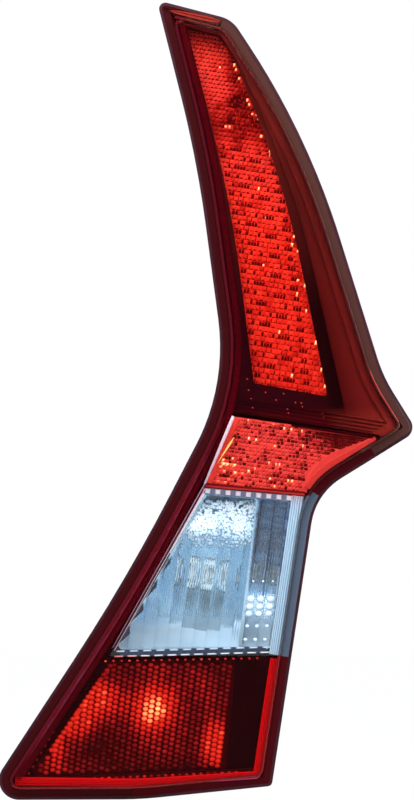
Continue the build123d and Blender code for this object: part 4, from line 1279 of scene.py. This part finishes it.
def plain(value, shoulder, start=-0.5):
    """Section of a strip of one tone, which rises to its full height within a shoulder at each edge."""
    end = start + 1.0
    offsets = ((start, 0.0), (start + shoulder, 1.0), (end - shoulder, 1.0), (end, 0.0))
    return [(offset, rise, value) for offset, rise in offsets]


pale_blue = toned("pale_blue", PALE_STOPS, (0.15, 0.3))
lip = plain(0.56, 0.06, start=0.0)
lip_line = inset_line(course(SILHOUETTE[:7]), LIP_INSET)
arm_lip = [point for point in lip_line if point.y > MARGIN_SPAN[1]]
waist_lip = [point for point in lip_line if MARGIN_SPAN[0] < point.y <= MARGIN_SPAN[1]]
for name, line, section, widths, depths, material, slot in (
    ("outboard_lip", arm_lip, lip, (3.4, 3.4), LIP_DEPTHS, dark_trim, "dark_trim"),
    ("reflex_margin", waist_lip, lip, MARGIN_WIDTHS, LIP_DEPTHS, reflex_red, "reflex_plate"),
    ("clear_edge_guide", course(CLEAR_GUIDE), RIDGED, (9.8, 8.0), GUIDE_DEPTHS, pale_blue, "metallised"),
    ("red_edge_guide", course(RED_GUIDE), RED_RIDGED, (6.4, 7.0), GUIDE_DEPTHS, bright_red, "metallised"),
):
    mesh, tone = toned_mesh()
    ribbon(mesh, tone, line, section, widths, depths)
    add_piece(name, mesh, material, slot)

# Frame of the reflex plate
# Edges moulded in one with the reflex plate: a rounded bevel up its inboard side, pale with a painted
# highlight, a strip along its foot that painted shade dulls towards the plate, and a thin rim round its
# outboard tip.
BEVEL_LINE = [(-45.4, -26.2), (-21.2, 28.2)]
# A pale painted highlight along the bevel.
BEVEL = [(-0.5, 0.2, 0.8), (-0.1, 1.0, 0.82), (0.15, 0.9, 0.8), (0.3, 0.7, 0.74), (0.5, 0.0, 0.66)]
STRIP_LINE = [(-48.2, -28.0), (36.2, -35.4)]
# Painted shade darkens the strip's edge towards the plate.
STRIP = [(-0.5, 0.0, 0.02), (-0.46, 1.0, 0.08), (0.0, 1.0, 0.34), (0.45, 1.0, 0.3), (0.5, 0.0, 0.2)]
RIM_WIDTHS = (2.6, 3.4, 4.2, 4.6, 4.6)
mesh, tone = toned_mesh()
ribbon(mesh, tone, course(BEVEL_LINE), BEVEL, widths=(5.4, 5.4), depths=(5.9, 5.0))
ribbon(mesh, tone, course(STRIP_LINE), STRIP, widths=(3.4, 3.4), depths=(5.8, 4.8))
ribbon(mesh, tone, waist_lip, plain(0.48, 0.06, start=0.0), RIM_WIDTHS, depths=(5.3, 4.9))
add_piece("reflex_frame", mesh, reflex_red, "reflex_plate")

# Bevels and ticks on the masks
# Fine lines moulded on the masks under the red lens: a bright hairline down the inboard edge of the
# clear window, a painted highlight; a dark line of painted shade over the reflex plate; and a row of
# bright ticks beside the bottom chamber, painted highlights.
WINDOW_LINE = [(-125.5, -168.5), (-48.4, -31.0)]
# A painted highlight along the hairline.
HAIRLINE = [(-0.5, 0.4, 0.5), (-0.2, 1.0, 1.0), (0.2, 1.0, 0.9), (0.5, 0.4, 0.5)]
# A line of painted shade along the top of the reflex plate.
SHADE_LINE = [(25.0, 22.6), (98.0, 12.2)]
TICK_ENDS = (Vector((-160.0, -209.0)), Vector((-198.0, -273.0)))
BLOCK_TOP = 0.72
# Painted shade on the sides of each block.
BLOCK_SIDE_SHADE = 0.7


def block_row(mesh, tone, start, end, count, size, depths, value):
    """Row of small bevelled blocks, evenly spaced between two places, with painted shade on their sides."""
    way = (end - start).normalized()
    side = Vector((-way.y, way.x))
    for i in range(count):
        centre = start.lerp(end, i / (count - 1))
        rings = []
        for depth, share in zip(depths, (1.0, BLOCK_TOP)):
            ring = []
            for a, b in SQUARE:
                place = centre + way * (a * share * size[0] / 2) + side * (b * share * size[1] / 2)
                ring.append(vertex(mesh, place, under_lens(place, depth)))
            rings.append(ring)
        for ring in rings:
            mesh.faces.new(ring)[tone] = value
        for j in range(4):
            k = (j + 1) % 4
            mesh.faces.new((rings[0][j], rings[0][k], rings[1][k], rings[1][j]))[tone] = value * BLOCK_SIDE_SHADE


mesh, tone = toned_mesh()
ribbon(mesh, tone, course(WINDOW_LINE), HAIRLINE, widths=(0.6, 1.0), depths=(5.6, 4.6))
ribbon(mesh, tone, course(SHADE_LINE), plain(0.04, 0.1), widths=(1.4, 3.0), depths=(5.9, 5.2))
# Bright ticks: painted highlights.
block_row(mesh, tone, *TICK_ENDS, count=12, size=(2.2, 0.7), depths=(6.6, 5.9), value=0.62)
add_piece("bevels", mesh, bright_red, "reflex_plate")

# Rows of blocks at the edges of the clear window
# Small relief on the trim that frames the clear optic: square blocks along its top, two rows of dashes
# along its foot, round white pips at the foot of the side bowl, painted highlights, and dark notches
# down its inboard edge.
CHECK_ENDS = (Vector((-46.2, -33.2)), Vector((23.0, -39.2)))
CHECK_START = Vector((-50.2, -32.8))
STILE_ENDS = (Vector((-78.4, -86.0)), Vector((-49.3, -35.0)))
DASH_ENDS = (Vector((-120.2, -169.2)), Vector((4.0, -165.9)))
DASH_DROP = Vector((-1.6, -4.4))
BED_WIDTHS = (6.0, 6.0)
BED_DEPTHS = (5.9, 5.4)
BED_SHOULDER = 0.05
BLOCK_DEPTHS = (5.5, 4.3)
PIP_ROWS = ((-110.0, 1.0), (-125.0, 3.4), (-131.4, 3.4), (-137.4, 3.0), (-148.0, 1.7), (-159.5, 1.7))
PIP_OFFSETS = (34.0, 42.3, 50.6)
PIP_STRETCH = 1.2
PIP_RISE = 1.2
PIP_DEPTH = 5.3
NOTCH_ENDS = (Vector((-76.5, -88.0)), Vector((-125.0, -167.0)))
NOTCH_COUNT = 4
NOTCH_LENGTH = 0.86
NOTCH_BULGE = 0.4
NOTCH_WIDTH = 3.2
NOTCH_GROWTH = (0.7, 0.3)
NOTCH_DEPTHS = (5.5, 4.6)
mesh, tone = toned_mesh()
ribbon(mesh, tone, course([CHECK_START, CHECK_ENDS[1]]), plain(0.34, BED_SHOULDER), BED_WIDTHS, BED_DEPTHS)
ribbon(mesh, tone, course(STILE_ENDS), plain(0.88, BED_SHOULDER), widths=(0.8, 2.0), depths=(5.5, 4.5))
block_row(mesh, tone, *CHECK_ENDS, count=9, size=(4.8, 4.4), depths=BLOCK_DEPTHS, value=0.85)
dash_bed = course([end + DASH_DROP / 2 for end in DASH_ENDS])
ribbon(mesh, tone, dash_bed, plain(0.03, BED_SHOULDER), BED_WIDTHS, BED_DEPTHS)
block_row(mesh, tone, *DASH_ENDS, count=12, size=(7.4, 1.4), depths=BLOCK_DEPTHS, value=0.7)
dropped_ends = [end + DASH_DROP for end in DASH_ENDS]
block_row(mesh, tone, *dropped_ends, count=12, size=(7.8, 1.2), depths=BLOCK_DEPTHS, value=1.0)
# White pips: painted highlights.
for height, radius in PIP_ROWS:
    start = FLUTE_MIDDLE + FLUTE_WAY * ((height - FLUTE_MIDDLE.y) / FLUTE_WAY.y)
    for offset in PIP_OFFSETS:
        centre = start + Vector((offset, 0.0))
        pillow(mesh, tone, centre, radius * PIP_STRETCH, radius, PIP_RISE, sunk(PIP_DEPTH), 1.0)
for i in range(NOTCH_COUNT):
    head = NOTCH_ENDS[0].lerp(NOTCH_ENDS[1], i / NOTCH_COUNT)
    foot = NOTCH_ENDS[0].lerp(NOTCH_ENDS[1], (i + NOTCH_LENGTH) / NOTCH_COUNT)
    width = NOTCH_WIDTH * (NOTCH_GROWTH[0] + NOTCH_GROWTH[1] * i)
    bulge = head.lerp(foot, NOTCH_BULGE) + Vector((width, 0.0))
    rings = []
    for depth in NOTCH_DEPTHS:
        rings.append([vertex(mesh, place, under_lens(place, depth)) for place in (head, bulge, foot)])
        mesh.faces.new(rings[-1])[tone] = 0.0
    for j in range(3):
        mesh.faces.new((rings[0][j - 1], rings[0][j], rings[1][j], rings[1][j - 1]))[tone] = 0.0
add_piece("window_blocks", mesh, pale_blue, "metallised")

# Frosted head of the optic
# Fine pips pressed in the back of the clear plate above the reversing bulb. Soft white patches of
# painted light lie over them: there the pips are thicker, larger and paler, and the palest glow.
FROST_HEAD = -42.0
FROST_FOOT = -82.0
FROST_STEP = 1.9
FROST_DEPTH = 9.7
FROST_STRAY = 0.6
FROST_RISE = 0.5
FROST_SIZES = (0.5, 0.75)
# Patches of painted light: the pips there lie thicker, larger and paler.
FROST_PAINTED_LIGHT = (
    (Vector((-55.0, -61.0)), 22.0, 12.0, 1.0),
    (Vector((-18.0, -63.0)), 17.0, 15.0, 0.72),
    (Vector((-30.0, -46.0)), 40.0, 8.0, 0.45),
)
# Painted glow on the palest pips.
FROST_PAINTED_GLOW = ((1.0, 0.98, 0.94), 0.75, 0.72)
frost_white = toned("frost_white", PALE_STOPS, TRIM_GLOSS, FROST_PAINTED_GLOW)
frost_seat = sunk(FROST_DEPTH)
mesh, tone = toned_mesh()
for row in range(round((FROST_HEAD - FROST_FOOT) / FROST_STEP)):
    height = FROST_HEAD - FROST_STEP * row
    partition = (SIDE_BOWL_EDGE / MM - SIDE_BOWL_AXIS[2] * height) / SIDE_BOWL_AXIS[0]
    left = FLUTE_MIDDLE.x + chord(OPTIC_ZONE, Vector((FLUTE_MIDDLE.x, height)), Vector((1.0, 0.0)))[0]
    for i in range(round((partition - left) / FROST_STEP) - 1):
        stray_across = chance.uniform(-FROST_STRAY, FROST_STRAY)
        stray = Vector((stray_across, chance.uniform(-FROST_STRAY, FROST_STRAY)))
        centre = Vector((left + FROST_STEP * (i + 0.8), height)) + stray
        # Painted light at this place.
        near = min(1.0, painted_patches(centre, FROST_PAINTED_LIGHT))
        if chance.random() < 0.26 + 0.96 * near:
            size = FROST_STEP * chance.uniform(*FROST_SIZES) * (1.0 + 0.2 * near)
            pillow(mesh, tone, centre, size, size * 1.3, FROST_RISE, frost_seat, 0.55 + 0.45 * near)
add_piece("optic_frost", mesh, frost_white, "clear_optic")

# Lens
# Polished acrylic in two shots: red all round, clear over the reversing and turn chamber, with a
# rounded raised face on a set-back flange that is welded to the housing rim.
RED_SHEEN = (0.35, 0.12, 0.18)
RED_THROUGH = (0.92, 0.19, 0.145)
RED_SHADE = (0.97, 0.62, 0.58)
LENS_INDEX = 1.3
WELD_GAP = 0.00006
red_lens = clear_moulding("red_lens", RED_THROUGH, RED_SHADE, LENS_INDEX, RED_SHEEN)
dress(red_lens, "lens_red")
clear_lens = clear_moulding("clear_lens", (0.95, 0.98, 1.0), (0.99, 1.0, 1.0), LENS_INDEX)
dress(clear_lens, "lens_clear")
for moulding in ("lens_red", "lens_clear"):
    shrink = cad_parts[moulding].modifiers.new("weld_gap", "DISPLACE")
    shrink.mid_level = 0.0
    shrink.strength = -WELD_GAP

# Weld band, flank and sheen of the lens edge
# The flange is welded to the housing along a dark band: crimson inboard, brown along the wrapped side
# and grey beside the clear window. The flank rises from it, with a thin painted glint line outboard above
# the waist, and a painted mauve sheen lies on the lens inboard.
FLANGE_FACE = 8.0
BAND_INSET = 5.7
BAND_WIDTH = 6.2
BAND_RISE = 0.35
FLANK_INSET = 10.25
FLANK_WIDTH = 2.7
FLANK_CORNER = 16.6
FLANK_TOP = 1.1
FLANK_FOOT = -283.0
FLANK = [(-0.5, 0.0), (-0.48, 0.27), (-0.28, 0.64), (-0.09, 0.78), (0.09, 0.88), (0.28, 0.955), (0.5, 1.0)]
# A painted mauve sheen on the lens inboard.
SHEEN_INSET = 12.6
SHEEN_WIDTH = 2.4
SHEEN_DEPTHS = (0.1, -0.12)
SHEEN_SPAN = (-288.0, 30.0)
SHEEN_FADE = 50.0
CLEAR_SPAN = (-172.5, -36.0)
# A thin painted glint line on the outboard flank above the waist.
PAINTED_GLINT_INSETS = (9.4, 10.4)
PAINTED_GLINT_SPAN = (25.0, 70.0)
BAND_FOOT = -290.0
LOWER_DIVIDE = (-110.0, 0.36)
UPPER_DIVIDE = (20.0, -0.27)
DIVIDE_HEIGHT = 60.0
DEEP_TONE = 0.2
PAINTED_SHEEN_TONE = 0.4
BROWN_TONE = 0.6
PAINTED_GLINT_TONE = 0.7
GUIDE_TONE = 0.8
CRIMSON_TONE = 0.9
BAND_STOPS = [
    (0.0, (0.050, 0.004, 0.005)),
    (DEEP_TONE, (0.07, 0.003, 0.005)),
    (PAINTED_SHEEN_TONE, (0.125, 0.015, 0.028)),
    (BROWN_TONE, (0.085, 0.03, 0.022)),
    (PAINTED_GLINT_TONE, (0.52, 0.07, 0.08)),
    (GUIDE_TONE, (0.28, 0.006, 0.006)),
    (CRIMSON_TONE, (0.092, 0.003, 0.008)),
    (1.0, (0.10, 0.12, 0.155)),
]
lens_skin = on_solid("lens_red")


def on_flange(place, depth):
    """Y of a point on the flange, which follows the lens straight back."""
    return lens_front(place.x, place.y) + depth


def on_skin(place, depth):
    """Y of a point at a depth under the front of the red lens."""
    return lens_skin(place) + depth


def band_tone(name, place):
    """Tone of the welded edge at a place; the painted sheen fades at its ends."""
    if name == "lens_sheen":
        inside = min(place.z - SHEEN_SPAN[0], SHEEN_SPAN[1] - place.z) / SHEEN_FADE
        return PAINTED_SHEEN_TONE * max(0.0, min(1.0, inside))
    on_flank = name == "lens_flank"
    lower_divide = LOWER_DIVIDE[0] + LOWER_DIVIDE[1] * (place.z - BAND_FOOT)
    upper_divide = UPPER_DIVIDE[0] + UPPER_DIVIDE[1] * (place.z - DIVIDE_HEIGHT)
    beyond = place.x > min(lower_divide, upper_divide) and place.z > BAND_FOOT
    if on_flank and place.z < CLEAR_SPAN[0] and (beyond or place.z < FLANK_FOOT):
        return GUIDE_TONE
    if not beyond:
        return CRIMSON_TONE if on_flank else 0.0
    if on_flank and PAINTED_GLINT_SPAN[0] < place.z < PAINTED_GLINT_SPAN[1]:
        inset = depth_inside(silhouette_outline, Vector((place.x, place.z)))
        if PAINTED_GLINT_INSETS[0] < inset < PAINTED_GLINT_INSETS[1]:
            return PAINTED_GLINT_TONE
    if CLEAR_SPAN[0] < place.z < CLEAR_SPAN[1]:
        return 1.0
    return BROWN_TONE if place.z > 0 else DEEP_TONE


weld_band = toned("weld_band", BAND_STOPS, (0.3, 0.45), shine=0.02)
closed_corners = [*SILHOUETTE, *SILHOUETTE[:2]]
whole_edge = course(closed_corners)
soft_edge = course([(x, z, max(radius, FLANK_CORNER)) for x, z, radius in closed_corners])
band_line = inset_line(whole_edge, BAND_INSET)
flank_line = inset_line(soft_edge, FLANK_INSET)
inner_line = inset_line(inboard_edge, SHEEN_INSET)
sheen_line = [point for point in inner_line if SHEEN_SPAN[0] < point.y < SHEEN_SPAN[1]]
band = plain(0.0, 0.02)
flank = [(*point, 0.0) for point in FLANK]
for name, line, section, width, depths, surface in (
    ("weld_band", band_line, band, BAND_WIDTH, (FLANGE_FACE, FLANGE_FACE - BAND_RISE), on_flange),
    ("lens_flank", flank_line, flank, FLANK_WIDTH, (FLANGE_FACE, FLANK_TOP), on_flange),
    ("lens_sheen", sheen_line, band, SHEEN_WIDTH, SHEEN_DEPTHS, on_skin),
):
    mesh, tone = toned_mesh()
    ribbon(mesh, tone, line, section, (width, width), depths, surface)
    for face in mesh.faces:
        face[tone] = band_tone(name, face.calc_center_median())
    add_piece(name, mesh, weld_band, "red_lens")

# Ridges on the flange
# Two bright red ridges, moulded side by side in one with the lens, that cross the top of the flange.
# They taper at both ends. Their bright red is painted light on the top edge of the lens, and their
# crests are painted brighter than their sides.
TOP_RIDGE = [(-77.6, 376.6), (-35.4, 367.2)]
RIDGE_WIDTHS = (1.6, 4.4, 5.0, 5.4, 5.4, 2.0)
RIDGE_RISE = 0.8
# Tones across the ridges: painted light, brightest on the crests.
TWIN = [
    (-0.5, 0.0, 0.3),
    (-0.36, 1.0, 0.9),
    (-0.2, 1.0, 0.75),
    (-0.06, 0.3, 0.35),
    (0.08, 1.0, 0.8),
    (0.36, 1.0, 0.55),
    (0.5, 0.0, 0.3),
]
RIDGE_STOPS = [(0.0, (0.05, 0.003, 0.003)), (0.5, (0.22, 0.010, 0.006)), (1.0, (0.50, 0.03, 0.014))]
ridge_red = toned("ridge_red", RIDGE_STOPS, TRIM_GLOSS)
mesh, tone = toned_mesh()
ribbon(mesh, tone, course(TOP_RIDGE), TWIN, RIDGE_WIDTHS, (FLANGE_FACE, FLANGE_FACE - RIDGE_RISE), on_flange)
add_piece("flange_ridges", mesh, ridge_red, "red_lens")

# Rib beside the reflex plate
# A thin pink rib moulded on the face of the lens up the inboard side of the reflex plate, its pale pink a
# painted highlight that grows paler upward, with an amber streak beside it and a hairline that runs on
# down the edge of the clear window.
RIB_LINE = [(-48.6, -27.0), (-24.4, 30.4)]
RIB_TONES = (0.7, 0.92)
RIB_WIDTHS = (1.8, 2.2, 2.7, 2.8)
RIB_SHOULDER = 0.3
STREAK_LINE = [(-38.0, -9.6), (-23.8, 12.6)]
STREAK = [(-0.5, 0.0, 0.0), (-0.2, 1.0, 0.3), (0.2, 1.0, 0.3), (0.5, 0.0, 0.0)]
STREAK_WIDTHS = (0.3, 0.8, 1.5, 2.3, 0.4)
EDGE_LINE = [(-126.8, -166.0), (-48.8, -27.2)]
RIB_STOPS = [
    (0.0, (0.9, 0.22, 0.03)),
    (0.3, (0.95, 0.62, 0.16)),
    (0.6, (0.36, 0.15, 0.22)),
    (1.0, (0.86, 0.70, 0.71)),
]
rib_pink = toned("rib_pink", RIB_STOPS, TRIM_GLOSS)
mesh, tone = toned_mesh()
ribbon(mesh, tone, course(RIB_LINE), plain(1.0, RIB_SHOULDER), RIB_WIDTHS, (0.1, -0.35), on_flange)
# The rib is a painted highlight, paler upward.
for face in mesh.faces:
    height = face.calc_center_median().z
    up_the_rib = (height - RIB_LINE[0][1]) / (RIB_LINE[1][1] - RIB_LINE[0][1])
    face[tone] = RIB_TONES[0] + (RIB_TONES[1] - RIB_TONES[0]) * up_the_rib
ribbon(mesh, tone, course(STREAK_LINE), STREAK, STREAK_WIDTHS, (0.1, -0.3), on_flange)
ribbon(mesh, tone, course(EDGE_LINE), plain(0.6, RIB_SHOULDER), (0.5, 1.0), (0.1, -0.2), on_flange)
add_piece("reflex_rib", mesh, rib_pink, "red_lens")

# Floor
# A plain white sheet just under the lamp. It shows as white to the camera, in gloss and through
# the lens, and keeps a faint shadow.
FLOOR_HALF = 6.0
FLOOR_GAP = 0.001
FLOOR_TONE = (0.85, 0.85, 0.85, 1.0)
WHITE_SHARE = 0.985
floor_mesh = bmesh.new()
bmesh.ops.create_grid(floor_mesh, x_segments=1, y_segments=1, size=FLOOR_HALF)
floor_data = bpy.data.meshes.new("floor")
floor_mesh.to_mesh(floor_data)
floor_mesh.free()
floor = bpy.data.objects.new("floor", floor_data)
floor.location = (0.0, 0.0, cad_low.z - FLOOR_GAP)
bpy.context.scene.collection.objects.link(floor)
floor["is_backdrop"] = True
floor_white, tree, shader = finish("floor_white")
feed(tree, shader, {"Base Color": FLOOR_TONE, "Roughness": 0.9})
white = tree.nodes.new("ShaderNodeEmission").outputs["Emission"]
ray = tree.nodes.new("ShaderNodeLightPath").outputs
seen = joined(tree, "MAXIMUM", ray["Is Camera Ray"], ray["Is Glossy Ray"], ray["Is Transmission Ray"])
show(tree, joined(tree, "MULTIPLY", seen, WHITE_SHARE), shader.outputs["BSDF"], white)
floor_data.materials.append(floor_white)

# Studio light
# A white backdrop beyond the lamp that fades to a dimmer, slightly blue room in front of it,
# with three soft boxes.
ROOM_BLUE = (0.30, 0.45, 0.62)
ROOM_STOPS = [(0.0, ROOM_BLUE), (0.6, ROOM_BLUE), (0.92, (1.0, 1.0, 1.0))]
LAMP_AIM = (0.0, -0.05, 0.05)
world = bpy.data.worlds.new("studio")
bpy.context.scene.world = world
world.use_nodes = True
tree = world.node_tree
parts = wired(tree, "ShaderNodeSeparateXYZ", {"Vector": coordinate(tree, "Generated")})
forward = mapped(tree, parts.outputs["Y"], (-1.0, 1.0))
feed(tree, tree.nodes["Background"], {"Color": tones(tree, forward, ROOM_STOPS)})


def soft_box(name, place, size, power):
    """Square soft lamp that faces the middle of the lens."""
    data = bpy.data.lights.new(name, "AREA")
    data.energy = power
    data.size = size
    lamp = bpy.data.objects.new(name, data)
    lamp.location = place
    lamp.rotation_euler = (Vector(LAMP_AIM) - Vector(place)).to_track_quat("-Z", "Y").to_euler()
    bpy.context.scene.collection.objects.link(lamp)


soft_box("key", (-0.8, -1.5, 2.4), size=1.9, power=85.0)
soft_box("side", (1.3, -0.9, 2.2), size=1.2, power=25.0)
soft_box("back", (-0.6, 1.5, 1.0), size=1.0, power=12.0)

# Camera
# Square on to the lens from well back, framed as the photograph is.
VIEW_CENTRE = (-0.04675, 0.0442)
VIEW_HEIGHT = 0.68
VIEW_DISTANCE = 10.0
SENSOR = 36.0
camera_data = bpy.data.cameras.new("camera")
camera_data.sensor_width = SENSOR
camera_data.lens = SENSOR * VIEW_DISTANCE / VIEW_HEIGHT
camera_data.clip_end = 50.0
camera = bpy.data.objects.new("camera", camera_data)
camera.location = (VIEW_CENTRE[0], FRONT_Y * MM - VIEW_DISTANCE, VIEW_CENTRE[1])
camera.rotation_euler = (math.pi / 2, 0.0, 0.0)
bpy.context.scene.collection.objects.link(camera)
bpy.context.scene.camera = camera
bpy.context.scene.view_settings.view_transform = "Standard"

# Sizes of the dressed lamp, as its lowest and highest corners
low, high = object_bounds()
